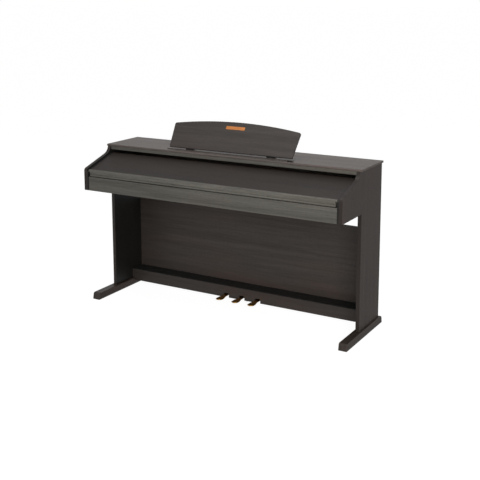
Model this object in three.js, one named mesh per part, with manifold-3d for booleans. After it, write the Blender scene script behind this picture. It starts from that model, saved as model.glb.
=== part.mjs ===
// Digital piano on its stand, with a sliding key cover, a folding music rest and three pedals.
// Millimetres. X runs to the player's right, Y from the front of the arms towards the back, Z up.
// Built with y = 0 at the front of the arms; the whole piano is centred on its own depth at the end.

import * as THREE from 'three';
import { mergeVertices } from 'three/addons/utils/BufferGeometryUtils.js';
import Module from 'manifold-3d';

const wasm = await Module();
wasm.setup();

// ---------------------------------------------------------------- driving dimensions

const seat = 0.3;                 // gap left between separately made pieces that seat on each other

// Cabinet
const cabinetWidth = 1410;        // over the outer faces of the side panels
const cabinetHeight = 800;        // floor to the top board's upper face
const cabinetBack = 457;          // back edge of the side panels
const caseHeight = 208;           // arms' underside to the top board's upper face
const sideThickness = 18;
const liningThickness = 7;        // board that doubles each side inside the case
const liningDrop = 9.5;            // of its top edge under the arms' slope
const armToeRadius = 5;
const armNoseRise = 110.5;        // arms' underside to where their slope would meet the front face
const armNoseRadius = 15;
const neckRise = 172.8;           // arms' underside to where their slope would meet the neck's line
const neckAhead = 20;             // neck's line in front of the leg
const neckRadius = 48;            // of the hollow curve from the slope up to the top board
const neckSteps = 6;
const legDepth = 240;
const topThickness = 10;
const topAhead = 1;               // in front of the necks' line
const topOverhang = 6;            // past each side panel
const topBehind = 4;              // past the sides' back edges
const topEdgeRadius = 7;
const upperRailSetback = 1.5;     // behind the top board's front edge
const upperRailThickness = 18;
const upperRailHeight = 16.7;
const panelEdgeRadius = 2;
const rearPanelThickness = 12;
const rearPanelInset = 3;         // behind the sides' back edges
const keyBedThickness = 18;
const frontRailFront = 3;         // set back from the arms' front face
const frontRailThickness = 19;
const frontRailRadius = 4;

// Feet
const footFront = 52;
const footBehind = 25;            // past the sides' back edges
const footWidth = 43;
const footOut = 11;               // past the sides' outer faces
const footHeight = 35;
const footRake = 7;               // how far each end leans in over the foot's height
const footNoseRadius = 10;

// Stand
const backPanelDrop = 124;        // from the arms' underside to the back panel's top edge
const backPanelThickness = 12;
const beamDepth = 96;             // from its front face to the sides' back edges
const beamBottom = 23;
const beamHeight = 64;
const beamThickness = 15;
const beamTopThickness = 3;

// Keyboard
const naturalCount = 52;
const cheekWidth = 58.3;          // wooden block between the keys and each side
const keyGap = 0.9;
const keyFront = 26;
const keyTopRise = 57;            // over the key bed
const keyThickness = 12;
const keySkirt = 20;              // height of a white key's front face
const keySkirtDepth = 12;
const keyShoulder = 76;           // where the black keys start
const sharpLength = 96;           // of a black key's raised part
const sharpHeight = 12;           // above the white keys
const sharpFrontRake = 5;
const sharpSideRake = 1.5;
const naturalTail = 250;
const sharpTailBack = 14;         // from the white tails' ends to the black ones'
const combSpine = 8;              // bar that joins the keys of a moulded comb
const combSpineHeight = 4.6;
const keyPivotBack = 12;          // behind the white keys' tails
const keyPivotRadius = 2;
const keyTailMargin = 4;          // past the pivot
const pivotClearance = 0.3;
const keyDip = 10;                // a white key's travel at its front edge
const framePlate = 3;
const frameFront = 24;
const frameRailFront = 25;
const frameRailDepth = 14;
const frameStopClearance = 1.5;   // under the skirt of a key that is fully down
const frameHeelDepth = 10;        // in front of the white keys' tails
const frameHeelRelief = 6;        // lower heel under the keys that move
const frameEarThickness = 5;
const cheekFrontRadius = 3;
const cheekBack = 176;
const cheekDrop = 0.5;            // under the front rail's top edge

// Control panel behind the keys
const panelGap = 5;               // behind the black keys' raised parts
const panelLipClearance = 1.5;    // over the white keys
const panelLipRise = 14;          // over the white keys
const panelRidgeRise = 35;        // over the white keys
const panelRidgeDepth = 24;       // from the ridge to the back wall
const panelSheet = 3;
const panelCornerRadius = 3;
const buttonHeight = 2.5;
const buttonTravel = 1;
const buttonFlange = 2;
const buttonWidth = 18;
const buttonDepth = 9;
const powerButtonWidth = 14;
const powerButtonIn = 35;         // from the panel's left end
const knobIn = 91;
const functionButtonIn = 151;
const functionButtonPitch = 28;
const functionButtonCount = 2;
const knobRadius = 11;
const knobHeight = 12;
const knobFlutes = 12;
const knobSpindle = 3;
const knobSpindleReach = 8;

// Key cover: a flat leaf with a moulded nose, carried on arc-shaped guides
const coverThickness = 12;
const coverFront = 7;             // front end of its flat top face
const coverDrop = 10.5;           // of its top face under the arms' slope
const coverUnderNeck = 11;        // its back edge behind the necks' front
const coverSideGap = 1.5;
const coverTravel = 200;          // of its back edge
const coverSwing = THREE.MathUtils.degToRad(16);
const coverHeelIn = 2;            // glide point in front of its back edge
const coverHeelDrop = 10;         // and under its top face
const noseRadius = 7;
const noseCentreY = 9;
const noseCentreDrop = 1;         // under the flat top face
const noseBandFront = 3;
const noseBandBack = 15;
const noseFaceDrop = 14;          // from the nose's centre to its face's lower edge
const noseBandDrop = 26.9;        // and to the bottom edge of the band under it
const noseBandHeight = 9.7;
const noseGrooveDepth = 3;
const noseRailGap = 3.5;          // between the band and the front rail
const guideClearance = 4.25;      // under the leaf, where it comes closest
const guideHeight = 10;
const guideThickness = 7.7;
const guideFront = 24;
const guideBackGap = 13;          // in front of the rear panel
const glideIn = 20;               // from the leaf's front end to the glide's middle
const glideLength = 16;
const toothModule = 1.25;
const pinionTeeth = 10;
const toothAddendum = 1;
const rackDedendum = 1.45;
const pinionDedendum = 1.3;
const toothBacklash = 0.5;
const toothFlank = THREE.MathUtils.degToRad(20);
const shaftIn = 13.6;             // from the leaf's back edge
const shaftRadius = 3;
const shaftBearingIn = 10;        // from the guides' inner faces
const bearingWidth = 12;
const bearingWall = 3;

// Music rest
const restSetback = 39.5;         // behind the top board's front edge
const restLift = 12;              // over the top board
const restLean = THREE.MathUtils.degToRad(33);
const restBottomWidth = 689;
const restCornerWidth = 708;
const restCornerHeight = 132.5;
const restCrown = 28;             // rise of the arched top edge over its corners
const restThickness = 9;
const restCornerRadius = 9;
const restHingeX = 228;
const hingeWidth = 46;
const hingeBarrel = 3;
const hingePin = 1.3;
const hingeLeaf = 1.5;
const hingeLeafReach = 24;
const hingeLeafAhead = 5;         // of the fixed leaf in front of the axis, clear of the rest
const stayPivotUp = 95;
const stayPivotOut = 4.5;         // from the rest's back face
const stayWidth = 130;
const stayWire = 2;
const stayLean = THREE.MathUtils.degToRad(35);
const stayBend = 8;
const stayEarWidth = 6;
const stayEarHeight = 10;
const ledgeSetback = 33;          // behind the top board's front edge
const ledgeDepth = 11;
const ledgeHeight = 3;

// Pedals
const pedalPitch = 92;
const pedalReach = 83;            // in front of the beam
const pedalTopRise = 16;          // over the beam's bottom edge
const pedalThickness = 8;
const pedalTipWidth = 36;
const pedalNeckWidth = 22;
const pedalShoulderRadius = 12;
const pedalTipLength = 34;
const pedalTailHalf = 5;          // half height of the lever beside its hub
const pedalPivotIn = 31;          // from the sides' back edges
const pedalPivotRise = 39;        // over the beam's bottom edge
const pedalHub = 9;
const pedalRampStartAhead = 44;   // in front of the axle
const pedalRampEndAhead = 26;
const pedalNotchWidth = 34;
const pedalNotchHeight = 22;
const axleRadius = 5;
const trayHalfWidth = 150;
const trayAhead = 32;             // in front of the axle
const traySheet = 2;
const trayRise = 2;               // above the beam's bottom edge
const earHalfWidth = 1.5;
const earDepth = 15;              // from the axle's centre to the ear's front
const springAhead = 19;           // in front of the axle
const springRadius = 7;
const springWire = 1;
const springTurns = 4;
const adjusterRadius = 14;
const adjusterDisc = 9;
const adjusterStem = 5;
const adjusterBehind = 3;         // behind the axle
const adjusterOver = 4;           // over the tray

// Speakers and electronics
const speakerIn = 200;            // from the sides' inner faces
const speakerClearance = 23;      // to the control panel and to the rear panel
const speakerFlangeWidth = 12;
const speakerFlange = 4;
const speakerDepth = 48;
const magnetRadius = 32;
const grilleSlots = 7;
const grilleSlotWidth = 6;
const boardWidth = 300;
const boardClearance = 28;        // to the control panel and to the rear panel
const boardX = -20;
const boardThickness = 1.6;
const boardPartHeight = 24;       // of its tallest parts
const standoffHeight = 8;
const standoffRadius = 4;
const jackPlateIn = 305;          // from the left side's inner face
const jackPlateRise = 40;         // over the key bed
const jackPlateWidth = 130;
const jackPlateHeight = 40;
const jackPlateThickness = 4;
const inletWidth = 22;
const inletHeight = 14;
const inletDepth = 16;
const inletWall = 3;
const jackRadius = 6;
const jackReach = 5;
const jackX = [-28, 2, 32];       // from the plate's centre, beside the inlet
const inletX = -50;

// ---------------------------------------------------------------- derived positions

// Across the piano
const boardHalf = cabinetWidth / 2 - sideThickness;       // to a side panel's inner face
const boardFitHalf = boardHalf - seat;                    // half width of what fits between the sides
const insideHalf = boardHalf - liningThickness;           // to a lining's inner face
const fitHalf = insideHalf - seat;                        // half width of what fits between the linings
const footCentreX = cabinetWidth / 2 + footOut - footWidth / 2;
const guideOuterX = insideHalf - seat;
const guideInnerX = guideOuterX - guideThickness;
const coverHalf = insideHalf - coverSideGap;
const bandHalf = guideInnerX - 1;
const panelHalf = guideInnerX - 1;
const cheekOuterX = guideInnerX - seat;
const keyboardWidth = 2 * (cheekOuterX - cheekWidth - keyGap);
const keyPitch = keyboardWidth / naturalCount;
const powerButtonX = powerButtonIn - panelHalf;
const knobX = knobIn - panelHalf;
const functionButtonX = Array.from(
  { length: functionButtonCount }, (_, index) => functionButtonIn + index * functionButtonPitch - panelHalf,
);
const bearingX = guideInnerX - shaftBearingIn;
const shaftBearingX = [-bearingX, -bearingX / 3, bearingX / 3, bearingX];
const speakerX = insideHalf - speakerIn;
const jackPlateX = jackPlateIn - insideHalf;

// From front to back
const legFront = cabinetBack - legDepth;
const neckFront = legFront - neckAhead;
const topFront = neckFront - topAhead;
const topBack = cabinetBack + topBehind;
const footBack = cabinetBack + footBehind;
const upperRailFront = topFront + upperRailSetback;
const upperRailBack = upperRailFront + upperRailThickness;
const rearPanelBack = cabinetBack - rearPanelInset;
const rearPanelFront = rearPanelBack - rearPanelThickness;
const frontRailBack = frontRailFront + frontRailThickness;
const beamFront = cabinetBack - beamDepth;
const sharpBack = keyShoulder + sharpLength;
const sharpTail = naturalTail - sharpTailBack;
const keyPivotY = naturalTail + keyPivotBack;
const frameBack = keyPivotY + keyTailMargin + 2;
const panelFront = sharpBack + panelGap;
const panelBack = frameBack + panelSheet + 3;
const panelRidgeY = panelBack - panelRidgeDepth;
const soundRoom = rearPanelFront - panelBack;             // behind the keys, over the key bed
const speakerY = panelBack + soundRoom / 2;
const speakerRadius = soundRoom / 2 - speakerClearance;
const grilleRadius = speakerRadius - speakerFlangeWidth;
const boardY = speakerY;
const boardDepth = soundRoom - 2 * boardClearance;
const guideBack = rearPanelFront - guideBackGap;
const restFrontY = topFront + restSetback;
const ledgeFront = topFront + ledgeSetback;
const pedalTip = beamFront - pedalReach;
const pedalPivotY = cabinetBack - pedalPivotIn;
const trayFront = pedalPivotY - trayAhead;
const springY = pedalPivotY - springAhead;
const adjusterY = pedalPivotY + adjusterBehind;

// From the floor up
const topUnderside = cabinetHeight - topThickness;
const armUnderside = cabinetHeight - caseHeight;
const armSlope = Math.atan((neckRise - armNoseRise) / neckFront);
const armSlopeZ = (y) => armUnderside + armNoseRise + y * Math.tan(armSlope);
const keyBedTop = armUnderside + keyBedThickness;
const keyTop = keyBedTop + keyTopRise;
const keyUnderside = keyTop - keyThickness;
const keyPivotZ = keyTop - keyThickness / 2;
const panelLipBottom = keyTop + panelLipClearance;
const panelLipTop = keyTop + panelLipRise;
const panelRidgeZ = keyTop + panelRidgeRise;
const coverSurfaceZ = (y) => armSlopeZ(y) - coverDrop;
const noseCentreZ = coverSurfaceZ(coverFront) - noseCentreDrop;
const noseBandBottom = noseCentreZ - noseBandDrop;
const noseBandTop = noseBandBottom + noseBandHeight;
const frontRailTop = noseBandBottom - noseRailGap;
const cheekTop = frontRailTop - cheekDrop;
const jackPlateZ = keyBedTop + jackPlateRise;
const restBottomZ = cabinetHeight + restLift;
const backPanelTop = armUnderside - backPanelDrop;
const beamTop = beamBottom + beamHeight;
const pedalTopZ = beamBottom + pedalTopRise;
const pedalPivotZ = beamBottom + pedalPivotRise;
const trayBottom = beamBottom + trayRise;
const trayTop = trayBottom + traySheet;

// The guides and the cover's swing share one centre, low down between the legs.
const coverRear = neckFront + coverUnderNeck;
const coverHeelY = coverRear - coverHeelIn;
const coverHeelZ = coverSurfaceZ(coverHeelY) - coverHeelDrop;
const guideCentreY = coverHeelY + coverTravel / 2;
const guideCentreZ = coverHeelZ - coverTravel / 2 / Math.tan(coverSwing / 2);
const fromCentre = (y, z) => new THREE.Vector2(y - guideCentreY, z - guideCentreZ);
const leafNormal = new THREE.Vector2(-Math.sin(armSlope), Math.cos(armSlope));
const leafAlong = new THREE.Vector2(Math.cos(armSlope), Math.sin(armSlope));
const leafTop = fromCentre(coverFront, coverSurfaceZ(coverFront)).dot(leafNormal);
const leafUnderside = leafTop - coverThickness;
const guideRadius = leafUnderside - guideClearance;       // of the guides' top faces
const pinionPitchRadius = toothModule * pinionTeeth / 2;
const rackPitchRadius = guideRadius - toothAddendum;
const shaftOrbit = rackPitchRadius + pinionPitchRadius;
const alongAt = (y, out) => (y - guideCentreY - leafNormal.x * out) / leafAlong.x;
const leafFrontAlong = alongAt(noseCentreY, leafTop);
const leafRearAlong = alongAt(coverRear, leafTop);
const glideAlong = leafFrontAlong + glideIn;
const shaftAlong = leafRearAlong - shaftIn;
const shaftOut = Math.sqrt(shaftOrbit ** 2 - shaftAlong ** 2);
const shaftAngle = armSlope - Math.asin(shaftAlong / shaftOrbit); // from vertical, towards the front
const shaftY = guideCentreY - shaftOrbit * Math.sin(shaftAngle);
const shaftZ = guideCentreZ + shaftOrbit * Math.cos(shaftAngle);

// ---------------------------------------------------------------- shape helpers

const X = new THREE.Vector3(1, 0, 0);
const Y = new THREE.Vector3(0, 1, 0);
const Z = new THREE.Vector3(0, 0, 1);

/** Draws a closed outline through corners [u, v, radius]; a radius rounds that corner by an arc. */
function outline(corners) {
  const kept = corners.filter(([u, v], index) => {
    const [nextU, nextV] = corners[(index + 1) % corners.length];
    return Math.hypot(nextU - u, nextV - v) > 1e-6;
  });
  const shape = new THREE.Shape();
  kept.forEach(([u, v, radius = 0], index) => {
    const corner = new THREE.Vector2(u, v);
    const before = kept[(index + kept.length - 1) % kept.length];
    const after = kept[(index + 1) % kept.length];
    const back = new THREE.Vector2(before[0] - u, before[1] - v);
    const ahead = new THREE.Vector2(after[0] - u, after[1] - v);
    const room = Math.min(back.length(), ahead.length()) * 0.49;
    back.normalize();
    ahead.normalize();
    const half = Math.acos(THREE.MathUtils.clamp(back.dot(ahead), -1, 1)) / 2;
    const reach = Math.min(radius / Math.tan(half), room);
    const start = corner.clone().addScaledVector(back, reach);
    if (index === 0) shape.moveTo(start.x, start.y);
    else shape.lineTo(start.x, start.y);
    if (radius === 0) return;
    const fillet = reach * Math.tan(half);
    const middle = back.clone().add(ahead).normalize();
    const centre = corner.clone().addScaledVector(middle, fillet / Math.sin(half));
    const end = corner.clone().addScaledVector(ahead, reach);
    const startAngle = Math.atan2(start.y - centre.y, start.x - centre.x);
    const endAngle = Math.atan2(end.y - centre.y, end.x - centre.x);
    shape.absarc(centre.x, centre.y, fillet, startAngle, endAngle, back.cross(ahead) > 0);
  });
  return shape;
}

const AXIS_BASIS = {
  x: new THREE.Matrix4().makeBasis(Y, Z, X),
  y: new THREE.Matrix4().makeBasis(X, Z, Y.clone().negate()),
  z: new THREE.Matrix4(),
};

/** Extrudes an outline along an axis. Its (u, v) are (y, z) along x, (x, z) along y, (x, y) along z. */
function prism(axis, shape, from, to, curveSegments = 2) {
  const geometry = new THREE.ExtrudeGeometry(shape, { depth: to - from, bevelEnabled: false, curveSegments });
  geometry.applyMatrix4(AXIS_BASIS[axis]);
  if (axis === 'x') return geometry.translate(from, 0, 0);
  if (axis === 'y') return geometry.translate(0, to, 0);
  return geometry.translate(0, 0, from);
}

/** A box between two corners. */
function block(x0, x1, y0, y1, z0, z1) {
  return new THREE.BoxGeometry(x1 - x0, y1 - y0, z1 - z0)
    .translate((x0 + x1) / 2, (y0 + y1) / 2, (z0 + z1) / 2);
}

/** A round bar along x through (y, z). */
function barX(radius, from, to, y, z, sides = 12) {
  return new THREE.CylinderGeometry(radius, radius, to - from, sides)
    .rotateZ(Math.PI / 2).translate((from + to) / 2, y, z);
}

/** A round bar along y through (x, z). */
function barY(radius, from, to, x, z, sides = 12) {
  return new THREE.CylinderGeometry(radius, radius, to - from, sides)
    .translate(x, (from + to) / 2, z);
}

/** A round bar along z through (x, y). */
function barZ(radius, from, to, x, y, sides = 12) {
  return new THREE.CylinderGeometry(radius, radius, to - from, sides)
    .rotateX(Math.PI / 2).translate(x, y, (from + to) / 2);
}

function toSolid(geometry) {
  const bare = geometry.clone();
  bare.deleteAttribute('normal');
  bare.deleteAttribute('uv');
  const welded = mergeVertices(bare, 1e-4);
  return new wasm.Manifold(new wasm.Mesh({
    numProp: 3,
    vertProperties: new Float32Array(welded.attributes.position.array),
    triVerts: new Uint32Array(welded.index.array),
  }));
}

function toGeometry(solid) {
  const mesh = solid.getMesh();
  const geometry = new THREE.BufferGeometry();
  geometry.setAttribute('position', new THREE.BufferAttribute(mesh.vertProperties, 3));
  geometry.setIndex(new THREE.BufferAttribute(mesh.triVerts, 1));
  return geometry;
}

/** Joins overlapping pieces into one body. */
function join(...pieces) {
  return toGeometry(pieces.map(toSolid).reduce((whole, piece) => whole.add(piece)));
}

/** Cuts tools out of a body. */
function cut(body, ...tools) {
  return toGeometry(tools.map(toSolid).reduce((rest, tool) => rest.subtract(tool), toSolid(body)));
}

/** Keeps what two bodies share. */
function shared(first, second) {
  return toGeometry(toSolid(first).intersect(toSolid(second)));
}

const finish = {
  laminate: () => new THREE.MeshStandardMaterial({ color: 0x46423e, roughness: 0.45, metalness: 0 }),
  blackBoard: () => new THREE.MeshStandardMaterial({ color: 0x16160f, roughness: 0.7, metalness: 0 }),
  ivory: () => new THREE.MeshStandardMaterial({ color: 0xf2f0ea, roughness: 0.25, metalness: 0 }),
  ebony: () => new THREE.MeshStandardMaterial({ color: 0x121212, roughness: 0.4, metalness: 0 }),
  plastic: () => new THREE.MeshStandardMaterial({ color: 0x1d1d1e, roughness: 0.5, metalness: 0 }),
  brass: () => new THREE.MeshStandardMaterial({ color: 0xb58a3c, roughness: 0.25, metalness: 1 }),
  steel: () => new THREE.MeshStandardMaterial({ color: 0x9b9c9e, roughness: 0.35, metalness: 1 }),
  darkSteel: () => new THREE.MeshStandardMaterial({ color: 0x2a2a2b, roughness: 0.5, metalness: 0.6 }),
  board: () => new THREE.MeshStandardMaterial({ color: 0x1f5a34, roughness: 0.6, metalness: 0 }),
  rubber: () => new THREE.MeshStandardMaterial({ color: 0x151515, roughness: 0.9, metalness: 0 }),
};

/** Adds a named piece to a group. */
function add(group, name, geometry, material, [x, y, z] = [0, 0, 0]) {
  const mesh = new THREE.Mesh(geometry, material);
  mesh.name = name;
  mesh.position.set(x, y, z);
  group.add(mesh);
  return mesh;
}

const SIDES = [['left', -1], ['right', 1]];

// ---------------------------------------------------------------- cabinet

/** Corners of the hollow curve that leaves an arm's slope smoothly and ends under the top board. */
function neckCurve() {
  const centreZ = armSlopeZ(neckFront) + neckRadius * Math.tan(Math.PI / 4 - armSlope / 2);
  const from = armSlope - Math.PI / 2;
  const to = Math.asin((topUnderside - seat - centreZ) / neckRadius);
  return Array.from({ length: neckSteps + 1 }, (_, index) => {
    const angle = THREE.MathUtils.lerp(from, to, index / neckSteps);
    return [neckFront - neckRadius * (1 - Math.cos(angle)), centreZ + neckRadius * Math.sin(angle)];
  });
}

/** Side, arm and leg in one board, seen from the side. */
function sideBoardShape() {
  return outline([
    [legFront, footHeight + seat],
    [legFront, armUnderside],
    [0, armUnderside, armToeRadius],
    [0, armSlopeZ(0), armNoseRadius],
    ...neckCurve(),
    [cabinetBack, topUnderside - seat],
    [cabinetBack, footHeight + seat],
  ]);
}

/** The board that doubles an arm inside the case and stays below the arm's slope. */
function liningShape() {
  const stepY = upperRailBack + seat;
  return outline([
    [0, armUnderside, armToeRadius],
    [0, armSlopeZ(0) - liningDrop, armNoseRadius],
    [stepY, armSlopeZ(stepY) - liningDrop],
    [stepY, topUnderside - seat],
    [cabinetBack, topUnderside - seat],
    [cabinetBack, armUnderside],
  ]);
}

function footShape() {
  return outline([
    [footFront, 0],
    [footFront + footRake, footHeight, footNoseRadius],
    [footBack - footRake, footHeight, footNoseRadius],
    [footBack, 0],
  ]);
}

/** Slotted sound outlets under one speaker, as cutting tools through the key bed. */
function grilleTools(centreX) {
  const grillePitch = 2 * grilleRadius / (grilleSlots + 0.4);
  return Array.from({ length: grilleSlots }, (_, index) => {
    const offset = (index - (grilleSlots - 1) / 2) * grillePitch;
    const half = Math.sqrt(grilleRadius ** 2 - offset ** 2);
    const y0 = speakerY + offset - grilleSlotWidth / 2;
    const y1 = y0 + grilleSlotWidth;
    const round = grilleSlotWidth / 2 - 0.01;
    const slot = outline([
      [centreX - half, y0, round],
      [centreX + half, y0, round],
      [centreX + half, y1, round],
      [centreX - half, y1, round],
    ]);
    return prism('z', slot, armUnderside - 1, keyBedTop + 1, 1);
  });
}

function buildCabinet() {
  const cabinet = new THREE.Group();
  for (const [side, sign] of SIDES) {
    const outer = sign * cabinetWidth / 2;
    const middle = sign * boardHalf;
    const inner = sign * insideHalf;
    const board = prism('x', sideBoardShape(), Math.min(middle, outer), Math.max(middle, outer), 5);
    const overlap = middle + sign;
    const lining = prism('x', liningShape(), Math.min(inner, overlap), Math.max(inner, overlap), 5);
    add(cabinet, `side_panel_${side}`, join(board, lining), finish.laminate());
    const footCentre = sign * footCentreX;
    const foot = prism('x', footShape(), footCentre - footWidth / 2, footCentre + footWidth / 2, 4);
    add(cabinet, `foot_${side}`, foot, finish.laminate());
  }

  const topHalf = cabinetWidth / 2 + topOverhang;
  const topShape = outline([
    [topFront, topUnderside, panelEdgeRadius],
    [topFront, cabinetHeight, topEdgeRadius],
    [topBack, cabinetHeight, panelEdgeRadius],
    [topBack, topUnderside],
  ]);
  add(cabinet, 'top_board', prism('x', topShape, -topHalf, topHalf, 4), finish.laminate());

  const railBottom = topUnderside - seat - upperRailHeight;
  const railShape = outline([
    [upperRailFront, railBottom, panelEdgeRadius],
    [upperRailFront, topUnderside - seat],
    [upperRailBack, topUnderside - seat],
    [upperRailBack, railBottom],
  ]);
  add(cabinet, 'upper_rail', prism('x', railShape, -boardFitHalf, boardFitHalf), finish.laminate());

  const window = block(
    jackPlateX - jackPlateWidth / 2 - seat, jackPlateX + jackPlateWidth / 2 + seat,
    rearPanelFront - 1, rearPanelBack + 1,
    jackPlateZ - jackPlateHeight / 2 - seat, jackPlateZ + jackPlateHeight / 2 + seat,
  );
  const rearBoard = block(-fitHalf, fitHalf, rearPanelFront, rearPanelBack, armUnderside, topUnderside - seat);
  add(cabinet, 'rear_panel', cut(rearBoard, window), finish.laminate());

  const bed = block(
    -fitHalf, fitHalf, frontRailBack + seat, rearPanelFront - seat, armUnderside, keyBedTop,
  );
  const grilles = [-speakerX, speakerX].flatMap(grilleTools);
  add(cabinet, 'key_bed', cut(bed, ...grilles), finish.laminate());

  const slipShape = outline([
    [frontRailFront, armUnderside, panelEdgeRadius],
    [frontRailFront, frontRailTop, frontRailRadius],
    [frontRailBack, frontRailTop],
    [frontRailBack, armUnderside],
  ]);
  add(cabinet, 'front_rail', prism('x', slipShape, -fitHalf, fitHalf), finish.laminate());
  return cabinet;
}

// ---------------------------------------------------------------- stand and pedals

/** One pedal, from the playing tip to the hub on its axle, around x = 0. */
function pedalGeometry() {
  const rampStart = pedalPivotY - pedalRampStartAhead;
  const rampEnd = pedalPivotY - pedalRampEndAhead;
  const blade = outline([
    [pedalTip, pedalTopZ - pedalThickness + 1, 3],
    [pedalTip, pedalTopZ, 3],
    [rampStart, pedalTopZ],
    [rampEnd, pedalPivotZ + pedalTailHalf],
    [pedalPivotY, pedalPivotZ + pedalTailHalf],
    [pedalPivotY, pedalPivotZ - pedalTailHalf],
    [rampEnd, pedalPivotZ - pedalTailHalf],
    [rampStart + pedalThickness / 2, pedalTopZ - pedalThickness],
  ]);
  const plan = outline([
    [-pedalTipWidth / 2, pedalTip, pedalTipWidth * 0.4],
    [-pedalTipWidth / 2, pedalTip + pedalTipLength, pedalShoulderRadius],
    [-pedalNeckWidth / 2, beamFront, pedalShoulderRadius],
    [-pedalNeckWidth / 2, pedalPivotY + pedalHub],
    [pedalNeckWidth / 2, pedalPivotY + pedalHub],
    [pedalNeckWidth / 2, beamFront, pedalShoulderRadius],
    [pedalTipWidth / 2, pedalTip + pedalTipLength, pedalShoulderRadius],
    [pedalTipWidth / 2, pedalTip, pedalTipWidth * 0.4],
  ]);
  const lever = shared(
    prism('x', blade, -pedalTipWidth, pedalTipWidth),
    prism('z', plan, 0, pedalPivotZ * 2, 2),
  );
  const hub = barX(pedalHub, -pedalNeckWidth / 2, pedalNeckWidth / 2, pedalPivotY, pedalPivotZ);
  const bore = barX(axleRadius + pivotClearance, -pedalTipWidth, pedalTipWidth, pedalPivotY, pedalPivotZ);
  return cut(join(lever, hub), bore);
}

/** Compression spring standing on the tray, around x = 0. */
function pedalSpringGeometry(bottom, top) {
  class Helix extends THREE.Curve {
    getPoint(t) {
      const angle = t * springTurns * Math.PI * 2;
      const rise = top - bottom - springWire * 2;
      return new THREE.Vector3(
        springRadius * Math.cos(angle),
        springY + springRadius * Math.sin(angle),
        bottom + springWire + rise * t,
      );
    }
  }
  const wire = new THREE.Shape().absarc(0, 0, springWire, 0, Math.PI * 2);
  return new THREE.ExtrudeGeometry(wire, {
    extrudePath: new Helix(), steps: springTurns * 6, curveSegments: 2, bevelEnabled: false,
  });
}

function buildStand() {
  const stand = new THREE.Group();
  const backPanelFront = cabinetBack - backPanelThickness;
  const backPanel = block(-boardFitHalf, boardFitHalf, backPanelFront, cabinetBack, beamTop + seat, backPanelTop);
  add(stand, 'stand_back_panel', backPanel, finish.laminate());

  const pedalX = [-pedalPitch, 0, pedalPitch];
  const notches = pedalX.map((x) => prism('y', outline([
    [x - pedalNotchWidth / 2, beamBottom - 5],
    [x - pedalNotchWidth / 2, beamBottom + pedalNotchHeight, 5],
    [x + pedalNotchWidth / 2, beamBottom + pedalNotchHeight, 5],
    [x + pedalNotchWidth / 2, beamBottom - 5],
  ]), beamFront - 1, beamFront + beamThickness + 1));
  const footInner = footCentreX - footWidth / 2;
  const overFeet = SIDES.map(([, sign]) => {
    const near = sign * (footInner - seat);
    const far = sign * (boardHalf + 1);
    return block(
      Math.min(near, far), Math.max(near, far), beamFront - 1, beamFront + beamThickness + 1,
      beamBottom - 1, footHeight + seat,
    );
  });
  const beamLidBottom = beamTop - beamTopThickness;
  const beam = block(
    -boardFitHalf, boardFitHalf, beamFront, beamFront + beamThickness, beamBottom, beamLidBottom - seat,
  );
  add(stand, 'pedal_front_board', cut(beam, ...notches, ...overFeet), finish.laminate());
  const lid = block(-boardFitHalf, boardFitHalf, beamFront, cabinetBack, beamLidBottom, beamTop);
  add(stand, 'pedal_box_top', lid, finish.blackBoard());

  // Steel tray under the lid, with the ears that carry the axle.
  const trayBack = cabinetBack - backPanelThickness;
  const ears = [-1.5, -0.5, 0.5, 1.5].map((place) => {
    const x = place * pedalPitch;
    return block(
      x - earHalfWidth, x + earHalfWidth, pedalPivotY - earDepth, trayBack - 1,
      trayTop - 1, pedalPivotZ + pedalHub,
    );
  });
  const tray = join(
    block(-trayHalfWidth, trayHalfWidth, trayFront, trayBack, trayBottom, trayTop),
    block(-trayHalfWidth, trayHalfWidth, trayBack - traySheet, trayBack, trayBottom, beamLidBottom - seat),
    ...ears,
  );
  const axleHalf = 1.5 * pedalPitch + earHalfWidth + 3;
  const chassis = cut(
    tray,
    barX(axleRadius + seat, -trayHalfWidth, trayHalfWidth, pedalPivotY, pedalPivotZ),
    barZ(adjusterStem + seat, trayBottom - 1, trayTop + 1, 0, adjusterY),
  );
  add(stand, 'pedal_chassis', chassis, finish.darkSteel());
  const axle = barX(axleRadius, -axleHalf, axleHalf, pedalPivotY, pedalPivotZ);
  add(stand, 'pedal_axle', axle, finish.steel());

  const springTop = pedalPivotZ - pedalTailHalf - seat;
  ['left', 'middle', 'right'].forEach((which, index) => {
    const at = [pedalX[index], 0, 0];
    add(stand, `pedal_${which}`, pedalGeometry(), finish.brass(), at);
    const spring = pedalSpringGeometry(trayTop + seat, springTop);
    add(stand, `pedal_spring_${which}`, spring, finish.steel(), at);
  });

  const adjuster = join(
    barZ(adjusterRadius, 0, adjusterDisc, 0, adjusterY, 20),
    barZ(adjusterStem, adjusterDisc - 1, trayTop + adjusterOver, 0, adjusterY),
  );
  add(stand, 'height_adjuster', adjuster, finish.plastic());
  return stand;
}

// ---------------------------------------------------------------- keyboard

const NOTE_NAMES = ['c', 'c_sharp', 'd', 'd_sharp', 'e', 'f', 'f_sharp', 'g', 'g_sharp', 'a', 'a_sharp', 'b'];
const NATURALS = [0, 2, 4, 5, 7, 9, 11];
const FIRST_NOTE = 9;             // A, counted in semitones from the C below it
const LAST_NOTE = 96;             // top C
const MIDDLE_OCTAVE = 4;

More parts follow.
